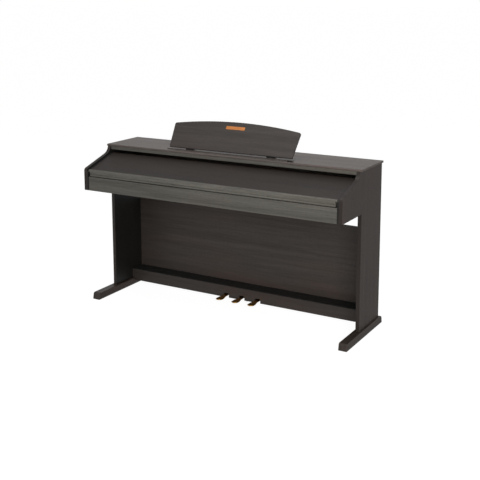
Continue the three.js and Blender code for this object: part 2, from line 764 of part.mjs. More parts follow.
/** Every key: its plan between the black keys (left, right) and, for a white one, its full front. */
function keyPlans() {
  const lowestC = -keyboardWidth / 2 - 5 * keyPitch;
  const plans = [];
  for (let note = FIRST_NOTE; note <= LAST_NOTE; note += 1) {
    const octave = Math.floor(note / 12);
    const semitone = note % 12;
    const octaveX = lowestC + octave * 7 * keyPitch;
    const lowGroup = semitone < 5;
    const cell = lowGroup ? 3 * keyPitch / 5 : 4 * keyPitch / 7;
    const groupX = octaveX + (lowGroup ? 0 : 3 * keyPitch);
    const cellX = groupX + (lowGroup ? semitone : semitone - 5) * cell;
    const natural = NATURALS.indexOf(semitone);
    const frontX = octaveX + natural * keyPitch;
    plans.push({
      note, octave, semitone, isNatural: natural >= 0,
      left: (note === FIRST_NOTE ? frontX : cellX) + keyGap / 2,
      right: (note === LAST_NOTE ? frontX + keyPitch : cellX + cell) - keyGap / 2,
      frontLeft: frontX + keyGap / 2,
      frontRight: frontX + keyPitch - keyGap / 2,
    });
  }
  return plans;
}

/** A white key with its notches for the black ones and its front skirt. */
function naturalKey(plan, tail) {
  const top = prism('z', outline([
    [plan.frontLeft, keyFront],
    [plan.frontRight, keyFront],
    [plan.frontRight, keyShoulder],
    [plan.right, keyShoulder],
    [plan.right, tail],
    [plan.left, tail],
    [plan.left, keyShoulder],
    [plan.frontLeft, keyShoulder],
  ]), keyUnderside, keyTop);
  const skirt = block(
    plan.frontLeft, plan.frontRight, keyFront, keyFront + keySkirtDepth, keyTop - keySkirt, keyTop,
  );
  return join(top, skirt);
}

/** A black key, raked at the front and narrower along its top. */
function sharpKey(plan, tail) {
  const width = 4 * keyPitch / 7 - keyGap;
  const topWidth = width - 2 * sharpSideRake;
  const centre = (plan.left + plan.right) / 2;
  const front = keyShoulder + keyGap;
  const profile = prism('x', outline([
    [front, keyUnderside],
    [front, keyTop],
    [front + sharpFrontRake, keyTop + sharpHeight],
    [sharpBack, keyTop + sharpHeight],
    [sharpBack, keyTop],
    [tail, keyTop],
    [tail, keyUnderside],
  ]), centre - width, centre + width);
  const section = prism('y', outline([
    [centre - width / 2, keyUnderside],
    [centre + width / 2, keyUnderside],
    [centre + width / 2, keyTop],
    [centre + topWidth / 2, keyTop + sharpHeight],
    [centre - topWidth / 2, keyTop + sharpHeight],
    [centre - width / 2, keyTop],
  ]), keyFront, tail + 1);
  return shared(profile, section);
}

/** Keys that share a moulded comb: white ones joined behind, black ones over the white tails. */
function comb(plans, isNatural) {
  const own = plans.filter((plan) => plan.isNatural === isNatural);
  const left = own[0].left;
  const right = own[own.length - 1].right;
  if (isNatural) {
    const spine = block(left, right, naturalTail - 1, naturalTail + combSpine, keyUnderside, keyTop);
    return join(spine, ...own.map((plan) => naturalKey(plan, naturalTail)));
  }
  const under = keyTop + 0.5;
  const spine = block(left, right, sharpTail - combSpine, sharpTail, under, under + combSpineHeight);
  const posts = own.map((plan) => block(
    plan.left, plan.right, sharpTail - combSpine, sharpTail, keyTop - 1, under + 1,
  ));
  return join(spine, ...posts, ...own.map((plan) => sharpKey(plan, sharpTail)));
}

/** The frame the keys stand in, with the rod that the middle octave turns on. */
function keyFrame(plans) {
  const middle = plans.filter((plan) => plan.octave === MIDDLE_OCTAVE);
  const octaveLeft = middle[0].frontLeft - keyGap / 2;
  const octaveRight = octaveLeft + 7 * keyPitch;
  const half = keyboardWidth / 2;
  const bottom = keyBedTop + seat;
  const plateTop = bottom + framePlate;
  const stopTop = keyTop - keySkirt - keyDip - frameStopClearance;
  const heelFront = naturalTail - frameHeelDepth;
  const heelTop = keyUnderside - seat;
  const heelBack = naturalTail + combSpine;
  const ear = (x0, x1) => block(
    x0, x1, heelBack + 0.5, frameBack, plateTop - 1, keyPivotZ + keyTailMargin,
  );
  return join(
    block(-half, half, frameFront, frameBack, bottom, plateTop),
    block(-half, half, frameRailFront, frameRailFront + frameRailDepth, plateTop - 1, stopTop),
    block(-half, octaveLeft, heelFront, heelBack, plateTop - 1, heelTop),
    block(octaveLeft - 1, octaveRight + 1, heelFront, heelBack, plateTop - 1, heelTop - frameHeelRelief),
    block(octaveRight, half, heelFront, heelBack, plateTop - 1, heelTop),
    ear(octaveLeft - frameEarThickness, octaveLeft),
    ear(octaveRight, octaveRight + frameEarThickness),
    barX(keyPivotRadius, octaveLeft - 2, octaveRight + 2, keyPivotY, keyPivotZ, 10),
  );
}

function buildKeyboard() {
  const keyboard = new THREE.Group();
  const plans = keyPlans();
  add(keyboard, 'key_frame', keyFrame(plans), finish.plastic());

  const bass = plans.filter((plan) => plan.octave < MIDDLE_OCTAVE);
  const treble = plans.filter((plan) => plan.octave > MIDDLE_OCTAVE);
  for (const [range, group] of [['bass', bass], ['treble', treble]]) {
    add(keyboard, `white_keys_${range}`, comb(group, true), finish.ivory());
    add(keyboard, `black_keys_${range}`, comb(group, false), finish.ebony());
  }

  const tail = keyPivotY + keyTailMargin;
  for (const plan of plans.filter(({ octave }) => octave === MIDDLE_OCTAVE)) {
    const centre = (plan.left + plan.right) / 2;
    const origin = [centre, keyPivotY, keyPivotZ];
    const key = plan.isNatural ? naturalKey(plan, tail) : sharpKey(plan, tail);
    const bore = barX(
      keyPivotRadius + pivotClearance, centre - keyPitch, centre + keyPitch, keyPivotY, keyPivotZ, 10,
    );
    const geometry = cut(key, bore).translate(-centre, -keyPivotY, -keyPivotZ);
    const material = plan.isNatural ? finish.ivory() : finish.ebony();
    add(keyboard, `key_${NOTE_NAMES[plan.semitone]}${MIDDLE_OCTAVE}`, geometry, material, origin);
  }

  for (const [side, sign] of SIDES) {
    const inner = sign * (keyboardWidth / 2 + keyGap);
    const outer = sign * cheekOuterX;
    const cheekShape = outline([
      [frontRailBack + seat, keyBedTop + seat],
      [frontRailBack + seat, cheekTop, cheekFrontRadius],
      [cheekBack, cheekTop],
      [cheekBack, keyBedTop + seat],
    ]);
    const cheek = prism('x', cheekShape, Math.min(inner, outer), Math.max(inner, outer));
    add(keyboard, `cheek_block_${side}`, cheek, finish.laminate());
  }
  return keyboard;
}

// ---------------------------------------------------------------- control panel

/** Push button with a flange that keeps it under the panel; its top face is at z = buttonHeight. */
function buttonGeometry(width) {
  const capShape = outline([
    [-width / 2, -buttonDepth / 2, 2],
    [width / 2, -buttonDepth / 2, 2],
    [width / 2, buttonDepth / 2, 2],
    [-width / 2, buttonDepth / 2, 2],
  ]);
  const flangeTop = -panelSheet - seat;
  const cap = prism('z', capShape, flangeTop - 1, buttonHeight, 2);
  const flange = block(
    -width / 2 - buttonFlange, width / 2 + buttonFlange,
    -buttonDepth / 2 - buttonFlange, buttonDepth / 2 + buttonFlange,
    flangeTop - buttonFlange, flangeTop,
  );
  return join(cap, flange);
}

/** Fluted knob on a spindle that goes through the panel. */
function knobGeometry() {
  const flutes = Array.from({ length: knobFlutes }, (_, index) => {
    const angle = index * Math.PI * 2 / knobFlutes;
    return barZ(1.2, 2, knobHeight + 1, knobRadius * Math.cos(angle), knobRadius * Math.sin(angle), 6);
  });
  const body = barZ(knobRadius, seat, knobHeight, 0, 0, 20);
  const spindle = barZ(knobSpindle, -knobSpindleReach, 1, 0, 0, 10);
  return join(cut(body, ...flutes), spindle);
}

function buildControls() {
  const slope = Math.atan2(panelRidgeZ - panelLipTop, panelRidgeY - panelFront);
  const drop = panelSheet / Math.cos(slope);
  const sheet = prism('x', outline([
    [panelFront, panelLipBottom],
    [panelFront, panelLipTop, panelCornerRadius],
    [panelRidgeY, panelRidgeZ, panelCornerRadius],
    [panelBack, panelRidgeZ, panelCornerRadius],
    [panelBack, keyBedTop + seat],
    [panelBack - panelSheet, keyBedTop + seat],
    [panelBack - panelSheet, panelRidgeZ - panelSheet],
    [panelRidgeY, panelRidgeZ - drop],
    [panelFront + panelSheet, panelLipTop - drop + panelSheet * Math.tan(slope)],
    [panelFront + panelSheet, panelLipBottom],
  ]), -panelHalf, panelHalf, 1);

  // Origin half way up the slope, z out of the panel.
  const face = new THREE.Group();
  face.position.set(0, (panelFront + panelRidgeY) / 2, (panelLipTop + panelRidgeZ) / 2);
  face.rotation.x = slope;
  face.updateMatrix();
  const slot = (x, width) => block(
    x - width / 2 - seat, x + width / 2 + seat, -buttonDepth / 2 - seat, buttonDepth / 2 + seat,
    -panelSheet * 2, panelSheet,
  ).applyMatrix4(face.matrix);
  const spindleHole = barZ(knobSpindle + pivotClearance, -panelSheet * 2, panelSheet, knobX, 0)
    .applyMatrix4(face.matrix);

  const controls = new THREE.Group();
  const panel = cut(
    sheet, slot(powerButtonX, powerButtonWidth), ...functionButtonX.map((x) => slot(x, buttonWidth)),
    spindleHole,
  );
  add(controls, 'control_panel', panel, finish.plastic());
  add(face, 'power_button', buttonGeometry(powerButtonWidth), finish.plastic(), [powerButtonX, 0, 0]);
  functionButtonX.forEach((x, index) => {
    add(face, `function_button_${index + 1}`, buttonGeometry(buttonWidth), finish.plastic(), [x, 0, 0]);
  });
  add(face, 'volume_knob', knobGeometry(), finish.plastic(), [knobX, 0, 0]);
  controls.add(face);
  return controls;
}

// ---------------------------------------------------------------- sliding key cover

/** A point on a circle about the guide centre, at an angle from vertical towards the front. */
function onGuide(radius, angle) {
  return [guideCentreY - radius * Math.sin(angle), guideCentreZ + radius * Math.cos(angle)];
}

/** Arc-shaped guide with rack teeth along its back half. */
function guideShape() {
  const angleAt = (y) => Math.asin((guideCentreY - y) / guideRadius);
  const frontAngle = angleAt(guideFront);
  const backAngle = angleAt(guideBack);
  const pitchAngle = Math.PI * toothModule / rackPitchRadius;
  const rootRadius = rackPitchRadius - rackDedendum;
  const halfPitchLine = (Math.PI * toothModule / 2 - toothBacklash) / 2;
  const halfTip = (halfPitchLine - toothAddendum * Math.tan(toothFlank)) / guideRadius;
  const halfRoot = (halfPitchLine + rackDedendum * Math.tan(toothFlank)) / guideRadius;
  const points = [];
  const smoothSteps = 10;
  const firstTooth = shaftAngle + pitchAngle * 1.5;
  const lastTooth = shaftAngle - coverSwing - pitchAngle * 1.5;
  for (let step = 0; step < smoothSteps; step += 1) {
    const angle = THREE.MathUtils.lerp(frontAngle, firstTooth + halfRoot * 3, step / (smoothSteps - 1));
    points.push(onGuide(guideRadius, angle));
  }
  for (let angle = firstTooth; angle > lastTooth - pitchAngle / 2; angle -= pitchAngle) {
    points.push(onGuide(rootRadius, angle + halfRoot));
    points.push(onGuide(guideRadius, angle + halfTip));
    points.push(onGuide(guideRadius, angle - halfTip));
    points.push(onGuide(rootRadius, angle - halfRoot));
  }
  points.push(onGuide(rootRadius, backAngle));
  const undersideSteps = 12;
  for (let step = 0; step <= undersideSteps; step += 1) {
    const angle = THREE.MathUtils.lerp(backAngle, frontAngle, step / undersideSteps);
    points.push(onGuide(guideRadius - guideHeight, angle));
  }
  return outline(points);
}

/** Pinion seen along its shaft, one tooth pointing at the guide centre. */
function pinionShape() {
  const tipRadius = pinionPitchRadius + toothAddendum;
  const rootRadius = pinionPitchRadius - pinionDedendum;
  const halfPitchLine = (Math.PI * toothModule / 2 - toothBacklash) / 2 / pinionPitchRadius;
  const flank = [[rootRadius, 1.3], [pinionPitchRadius, 1], [tipRadius, 0.45]];
  const points = [];
  for (let tooth = 0; tooth < pinionTeeth; tooth += 1) {
    const centre = -Math.PI / 2 + shaftAngle + tooth * Math.PI * 2 / pinionTeeth;
    const half = [...flank.map(([radius, share]) => [radius, -share * halfPitchLine]),
      ...flank.map(([radius, share]) => [radius, share * halfPitchLine]).reverse()];
    for (const [radius, offset] of half) {
      points.push([radius * Math.cos(centre + offset), radius * Math.sin(centre + offset)]);
    }
  }
  return outline(points);
}

/** A point of the closed cover: how far along the leaf, and how far out from the guide centre. */
function onLeaf(along, out) {
  return [
    guideCentreY + leafAlong.x * along + leafNormal.x * out,
    guideCentreZ + leafAlong.y * along + leafNormal.y * out,
  ];
}

function coverGeometry() {
  const leaf = prism('x', outline([
    onLeaf(leafFrontAlong, leafTop),
    [...onLeaf(leafRearAlong, leafTop), 3],
    [...onLeaf(leafRearAlong, leafUnderside), 3],
    onLeaf(leafFrontAlong, leafUnderside),
  ]), -coverHalf, coverHalf);
  const lip = barX(noseRadius, -coverHalf, coverHalf, noseCentreY, noseCentreZ, 20);
  const face = block(
    -bandHalf, bandHalf, noseCentreY - noseRadius, noseBandBack, noseCentreZ - noseFaceDrop, noseCentreZ,
  );
  const web = block(
    -bandHalf, bandHalf, noseBandFront + noseGrooveDepth, noseBandBack, noseBandTop - 1, noseCentreZ,
  );
  const band = prism('x', outline([
    [noseBandFront, noseBandBottom, 2],
    [noseBandFront, noseBandTop, 2],
    [noseBandBack, noseBandTop],
    [noseBandBack, noseBandBottom, 2],
  ]), -bandHalf, bandHalf);

  const glides = SIDES.map(([, sign]) => {
    const inner = sign * (guideInnerX + seat);
    const outer = sign * coverHalf;
    const reach = guideRadius + seat;
    const ends = [glideAlong - glideLength / 2, glideAlong + glideLength / 2];
    const shape = outline([
      onLeaf(ends[0], leafUnderside + 2),
      onLeaf(ends[1], leafUnderside + 2),
      [...onLeaf(ends[1], Math.sqrt(reach ** 2 - ends[1] ** 2)), 1],
      [...onLeaf(ends[0], Math.sqrt(reach ** 2 - ends[0] ** 2)), 1],
    ]);
    return prism('x', shape, Math.min(inner, outer), Math.max(inner, outer), 1);
  });

  const lugHalf = shaftRadius + pivotClearance + bearingWall;
  const lugs = shaftBearingX.map((x) => prism('x', outline([
    onLeaf(shaftAlong - lugHalf, leafUnderside + 2),
    onLeaf(shaftAlong + lugHalf, leafUnderside + 2),
    [...onLeaf(shaftAlong + lugHalf, shaftOut - lugHalf), lugHalf * 0.8],
    [...onLeaf(shaftAlong - lugHalf, shaftOut - lugHalf), lugHalf * 0.8],
  ]), x - bearingWidth / 2, x + bearingWidth / 2));
  const bore = barX(shaftRadius + pivotClearance, -coverHalf, coverHalf, shaftY, shaftZ);
  return cut(join(leaf, lip, face, web, band, ...glides, ...lugs), bore);
}

function buildCover() {
  const cover = new THREE.Group();
  for (const [side, sign] of SIDES) {
    const inner = sign * guideInnerX;
    const outer = sign * guideOuterX;
    const guide = prism('x', guideShape(), Math.min(inner, outer), Math.max(inner, outer));
    add(cover, `cover_guide_${side}`, guide, finish.plastic());
  }
  add(cover, 'key_cover', coverGeometry(), finish.laminate());

  const pinions = SIDES.map(([, sign]) => {
    const inner = sign * (guideInnerX + seat);
    const outer = sign * (guideOuterX - seat);
    return prism('x', pinionShape(), Math.min(inner, outer), Math.max(inner, outer));
  });
  const shaft = barX(shaftRadius, -guideOuterX + seat, guideOuterX - seat, 0, 0);
  add(cover, 'cover_pinion_shaft', join(shaft, ...pinions), finish.steel(), [0, shaftY, shaftZ]);
  return cover;
}

// ---------------------------------------------------------------- music rest

/** The rest in its own plane: x along it, v up from its bottom edge. */
function restShape() {
  const half = restCornerWidth / 2;
  const circle = (half ** 2 + restCrown ** 2) / (2 * restCrown);
  const centre = restCornerHeight + restCrown - circle;
  const reach = half - restCornerRadius;
  const start = Math.atan2(restCornerHeight - centre, reach);
  const shape = new THREE.Shape();
  shape.moveTo(-restBottomWidth / 2, 0);
  shape.lineTo(restBottomWidth / 2, 0);
  shape.lineTo(half, restCornerHeight - restCornerRadius);
  const shoulder = [circle * Math.cos(start), centre + circle * Math.sin(start)];
  shape.quadraticCurveTo(half + 0.5, restCornerHeight, ...shoulder);
  shape.absarc(0, centre, circle, start, Math.PI - start, false);
  shape.quadraticCurveTo(-half - 0.5, restCornerHeight, -half, restCornerHeight - restCornerRadius);
  return shape;
}

/** One hinge leaf lying in the x-z plane of its group, with the knuckles it owns on the x axis. */
function hingeKnuckles(spans, bore) {
  const barrels = spans.map(([from, to]) => barX(hingeBarrel, from, to, 0, 0, 10));
  return bore ? barrels.map((barrel) => cut(barrel, barX(bore, -hingeWidth, hingeWidth, 0, 0, 8))) : barrels;
}

function buildMusicRest() {
  // Turned group: x along the rest, y out of its back, z up along it; origin on the front bottom edge.
  const rest = new THREE.Group();
  rest.position.set(0, restFrontY, restBottomZ);
  rest.rotation.x = -restLean;
  rest.updateMatrix();

  const axisOut = restThickness + hingeBarrel + seat;
  const plateTop = cabinetHeight + seat + hingeLeaf;
  const axisZ = plateTop + hingeBarrel + seat;
  const hingeAxisUp = (axisZ - restBottomZ + axisOut * Math.sin(restLean)) / Math.cos(restLean);
  const axisAt = new THREE.Vector3(0, axisOut, hingeAxisUp).applyMatrix4(rest.matrix);
  const board = prism('y', restShape(), 0, restThickness, 8);
  const pivotOut = restThickness + stayPivotOut;
  const earX = stayWidth / 2 - stayWire - stayEarWidth - 2;
  const ears = SIDES.map(([, sign]) => {
    const inner = sign * earX;
    const outer = sign * (earX + stayEarWidth);
    return block(
      Math.min(inner, outer), Math.max(inner, outer), restThickness - 1, pivotOut + stayWire + 1.5,
      stayPivotUp - stayEarHeight / 2, stayPivotUp + stayEarHeight / 2,
    );
  });
  const pinBore = barX(stayWire + pivotClearance, -stayWidth, stayWidth, pivotOut, stayPivotUp, 10);
  add(rest, 'music_rest', cut(join(board, ...ears), pinBore), finish.laminate());

  // Each hinge: two outer knuckles and the pin on the top board, one middle knuckle on the rest.
  const third = hingeWidth / 3;
  const group = new THREE.Group();
  for (const [side, sign] of SIDES) {
    const x = sign * restHingeX;
    const plate = block(
      -hingeWidth / 2, hingeWidth / 2, -hingeLeafAhead, hingeLeafReach - hingeLeafAhead,
      cabinetHeight + seat - axisAt.z, plateTop - axisAt.z,
    );
    const saddles = [[-hingeWidth / 2, -third / 2 - seat], [third / 2 + seat, hingeWidth / 2]];
    const feet = saddles.map(([from, to]) => block(from, to, -2, 2, plateTop - axisAt.z - 0.5, 0));
    const pin = barX(hingePin, -hingeWidth / 2 + 1, hingeWidth / 2 - 1, 0, 0, 8);
    const fixedLeaf = join(plate, ...feet, ...hingeKnuckles(saddles, 0), pin);
    add(group, `hinge_leaf_fixed_${side}`, fixedLeaf, finish.darkSteel(), [x, axisAt.y, axisAt.z]);

    const knuckle = hingeKnuckles([[-third / 2, third / 2]], hingePin + pivotClearance)[0];
    const wingBack = -hingeBarrel + hingeLeaf;
    const tail = block(-third / 2, third / 2, -hingeBarrel, wingBack, 0, hingeBarrel + 2);
    const wing = block(
      -hingeWidth / 2, hingeWidth / 2, -hingeBarrel, wingBack, hingeBarrel + seat, hingeLeafReach,
    );
    const moving = join(knuckle, tail, wing);
    add(rest, `hinge_leaf_moving_${side}`, moving, finish.darkSteel(), [x, axisOut, hingeAxisUp]);
  }

  // Wire stay: pins in the ears, two legs and a foot bar just above the top board.
  const pivot = new THREE.Vector3(0, pivotOut, stayPivotUp).applyMatrix4(rest.matrix);
  const stayLength = (pivot.z - cabinetHeight - seat - stayWire) / Math.cos(stayLean);
  const pinEnd = earX - 2;
  const legX = stayWidth / 2;
  const path = new THREE.CurvePath();
  const corner = (from, bend, to) => path.add(new THREE.QuadraticBezierCurve3(from, bend, to));
  const at = (x, down) => new THREE.Vector3(x, 0, -down);
  const straight = (from, to) => path.add(new THREE.LineCurve3(from, to));
  const pinBend = stayWire * 2;
  straight(at(-pinEnd, 0), at(-legX + pinBend, 0));
  corner(at(-legX + pinBend, 0), at(-legX, 0), at(-legX, pinBend));
  straight(at(-legX, pinBend), at(-legX, stayLength - stayBend));
  corner(at(-legX, stayLength - stayBend), at(-legX, stayLength), at(-legX + stayBend, stayLength));
  straight(at(-legX + stayBend, stayLength), at(legX - stayBend, stayLength));
  corner(at(legX - stayBend, stayLength), at(legX, stayLength), at(legX, stayLength - stayBend));
  straight(at(legX, stayLength - stayBend), at(legX, pinBend));
  corner(at(legX, pinBend), at(legX, 0), at(legX - pinBend, 0));
  straight(at(legX - pinBend, 0), at(pinEnd, 0));
  const wire = new THREE.Shape().absarc(0, 0, stayWire, 0, Math.PI * 2);
  const stayGeometry = new THREE.ExtrudeGeometry(wire, {
    extrudePath: path, steps: 38, curveSegments: 3, bevelEnabled: false,
  });
  const stay = add(group, 'rest_stay', stayGeometry, finish.steel(), pivot.toArray());
  stay.rotation.x = stayLean;

  const ledge = prism('x', outline([
    [ledgeFront, cabinetHeight + seat],
    [ledgeFront, cabinetHeight + ledgeHeight, 2],
    [ledgeFront + ledgeDepth, cabinetHeight + ledgeHeight, 2],
    [ledgeFront + ledgeDepth, cabinetHeight + seat],
  ]), -restCornerWidth / 2, restCornerWidth / 2);
  add(group, 'score_ledge', ledge, finish.laminate());
  group.add(rest);
  return group;
}

// ---------------------------------------------------------------- speakers and electronics

/** Speaker facing down: flange on the key bed, cone recess below, magnet on top. */
function speakerGeometry() {
  const coneDepth = speakerDepth * 0.42;
  const domeRadius = magnetRadius * 0.4;
  const profile = [
    [domeRadius, coneDepth], [grilleRadius, speakerFlange / 2], [grilleRadius + speakerFlange / 2, 0],
    [speakerRadius, 0], [speakerRadius, speakerFlange], [grilleRadius + speakerFlange, speakerFlange],
    [magnetRadius, speakerDepth * 0.55], [magnetRadius, speakerDepth], [0, speakerDepth],
    [0, coneDepth + speakerFlange],
  ].map(([radius, height]) => new THREE.Vector2(radius, height));
  profile.push(profile[0].clone());
  return new THREE.LatheGeometry(profile, 16).rotateX(Math.PI / 2);
}

function buildElectronics() {
  const inside = new THREE.Group();
  for (const [side, sign] of SIDES) {
    const speaker = speakerGeometry();
    add(inside, `speaker_${side}`, speaker, finish.plastic(), [sign * speakerX, speakerY, keyBedTop + seat]);
  }

  const half = boardWidth / 2;
  const deep = boardDepth / 2;
  const corners = [[-1, -1], [-1, 1], [1, -1], [1, 1]];
  const standoffs = corners.map(([across, back]) => barZ(
    standoffRadius, 0, standoffHeight + 0.5, across * (half - 10), back * (deep - 10), 8,
  ));
  const top = standoffHeight + boardThickness;
  const chip = (across, back, width, depth, height) => block(
    (across - width) * half, (across + width) * half, (back - depth) * deep, (back + depth) * deep,
    top - 0.5, top + height,
  );
  const capacitor = (across) => barZ(
    deep / 6, top - 0.5, top + boardPartHeight, across * half, deep / 3, 12,
  );
  const board = join(
    block(-half, half, -deep, deep, standoffHeight, top),
    ...standoffs,
    chip(-0.2, 0.1, 0.11, 0.3, boardPartHeight / 8),
    chip(0.2, -0.3, 0.08, 0.15, boardPartHeight / 8),
    chip(-0.6, 0.35, 0.13, 0.22, boardPartHeight),
    capacitor(0.53),
    capacitor(0.68),
    chip(0.63, -0.45, 0.2, 0.11, boardPartHeight / 2),
  );
  add(inside, 'main_circuit_board', board, finish.board(), [boardX, boardY, keyBedTop + seat]);

  // Connector plate in the rear panel's window, with the mains inlet and three jack bushes.
  const outerY = rearPanelBack - 1;
  const plate = block(
    -jackPlateWidth / 2, jackPlateWidth / 2, outerY - jackPlateThickness, outerY,
    -jackPlateHeight / 2, jackPlateHeight / 2,
  );
  const shell = block(
    inletX - inletWidth / 2 - inletWall, inletX + inletWidth / 2 + inletWall,
    outerY - inletDepth - inletWall, outerY - 1,
    -inletHeight / 2 - inletWall, inletHeight / 2 + inletWall,
  );
  const socket = block(
    inletX - inletWidth / 2, inletX + inletWidth / 2, outerY - inletDepth, outerY + 1,
    -inletHeight / 2, inletHeight / 2,
  );
  const bushes = jackX.map((x) => barY(jackRadius, outerY - 12, outerY + jackReach, x, 0, 12));
  const jacks = cut(join(plate, shell, ...bushes), socket);
  add(inside, 'jack_panel', jacks, finish.plastic(), [jackPlateX, 0, jackPlateZ]);
  return inside;
}

// ---------------------------------------------------------------- the whole piano

const piano = new THREE.Group();
piano.position.y = -footBack / 2;
piano.add(
  buildCabinet(), buildStand(), buildKeyboard(), buildControls(), buildCover(), buildMusicRest(),
  buildElectronics(),
);

export default piano;
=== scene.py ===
"""Digital piano on its stand: the finishes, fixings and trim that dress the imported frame.

The frame brings every board, key, lever and rail in metres, +Z up. This script gives each of
them its finish and its eased edges, adds the small fixings and trim that sit on them, and sets
up the floor, the lights and the camera.
"""

from __future__ import annotations

import logging
import math
from collections.abc import Callable, Iterable, Sequence
from dataclasses import dataclass, field, replace
from enum import Enum

import bmesh
import bpy
from mathutils import Euler, Matrix, Vector


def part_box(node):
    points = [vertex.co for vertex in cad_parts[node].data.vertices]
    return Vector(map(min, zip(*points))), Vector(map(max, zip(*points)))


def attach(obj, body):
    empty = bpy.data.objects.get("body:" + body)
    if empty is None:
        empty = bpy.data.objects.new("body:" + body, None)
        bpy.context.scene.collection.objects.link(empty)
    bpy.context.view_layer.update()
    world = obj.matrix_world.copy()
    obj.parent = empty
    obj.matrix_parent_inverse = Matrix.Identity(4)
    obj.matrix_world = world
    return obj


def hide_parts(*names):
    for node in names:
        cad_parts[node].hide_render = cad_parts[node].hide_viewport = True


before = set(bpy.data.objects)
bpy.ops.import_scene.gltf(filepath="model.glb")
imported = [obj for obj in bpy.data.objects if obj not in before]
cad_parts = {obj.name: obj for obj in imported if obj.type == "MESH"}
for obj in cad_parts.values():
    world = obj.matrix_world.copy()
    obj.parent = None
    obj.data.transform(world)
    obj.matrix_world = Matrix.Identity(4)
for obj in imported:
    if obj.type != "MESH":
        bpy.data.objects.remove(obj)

log = logging.getLogger("piano")

MM = 0.001
NODES: dict[str, bpy.types.Object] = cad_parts

Colour = tuple[float, float, float, float]


def srgb(red: int, green: int, blue: int) -> Colour:
    """Turns an 8-bit display colour into the linear colour that a shader takes.

    Args:
        red: The red channel, from 0 to 255.
        green: The green channel.
        blue: The blue channel.

    Returns:
        The linear colour.
    """

    def linear(part: int) -> float:
        """One channel, by the display's standard curve."""
        share = part / 255
        return share / 12.92 if share <= 0.04045 else ((share + 0.055) / 1.055) ** 2.4

    return linear(red), linear(green), linear(blue), 1.0


def shade(colour: Colour, factor: float) -> Colour:
    """The same linear colour, brighter or darker by a factor."""
    return colour[0] * factor, colour[1] * factor, colour[2] * factor, 1.0


def grey(level: float) -> Colour:
    """A neutral linear colour."""
    return level, level, level, 1.0


# ------------------------------------------------------------------ shader maths

# A Mix node's sockets for colours, which share their names with those for numbers and vectors.
MIX_FIRST, MIX_SECOND, MIX_RESULT = 6, 7, 2


class Value:
    """A socket of a material, so that shader maths reads as Python."""

    def __init__(self, sheet: ShaderSheet, socket: bpy.types.NodeSocket) -> None:
        """Wraps one output socket of the sheet's tree."""
        self.sheet = sheet
        self.socket = socket

    def _combine(self, operation: str, first: Value | float, second: Value | float) -> Value:
        """Adds one Math node.

        Args:
            operation: The Math node's operation.
            first: Its first input, a value or a number.
            second: Its second input.

        Returns:
            The node's result.
        """
        node = self.sheet.node("ShaderNodeMath", {"operation": operation}, {0: first, 1: second})
        return Value(self.sheet, node.outputs[0])

    def __add__(self, other: Value | float) -> Value:
        """Value + other."""
        return self._combine("ADD", self, other)

    def __radd__(self, other: float) -> Value:
        """Other + value."""
        return self._combine("ADD", other, self)

    def __sub__(self, other: Value | float) -> Value:
        """Value - other."""
        return self._combine("SUBTRACT", self, other)

    def __rsub__(self, other: float) -> Value:
        """Other - value, so that 1 - mask works."""
        return self._combine("SUBTRACT", other, self)

    def __mul__(self, other: Value | float) -> Value:
        """Value * other."""
        return self._combine("MULTIPLY", self, other)

    def __rmul__(self, other: float) -> Value:
        """Other * value."""
        return self._combine("MULTIPLY", other, self)

    def __or__(self, other: Value | float) -> Value:
        """The larger of value and other."""
        return self._combine("MAXIMUM", self, other)

    def __ror__(self, other: float) -> Value:
        """The larger of other and value."""
        return self._combine("MAXIMUM", other, self)

    def __abs__(self) -> Value:
        """The value without its sign."""
        return self | -1 * self

    def between(self, low: float, high: float) -> Value:
        """Turns the value into a mask.

        Args:
            low: Below this the mask is 0.
            high: Above this the mask is 1.

        Returns:
            The mask, smooth between the two.
        """
        node = self.sheet.node(
            "ShaderNodeMapRange",
            {"interpolation_type": "SMOOTHSTEP"},
            {"Value": self, "From Min": low, "From Max": high},
        )
        return Value(self.sheet, node.outputs["Result"])


Given = Value | float | Sequence[float]


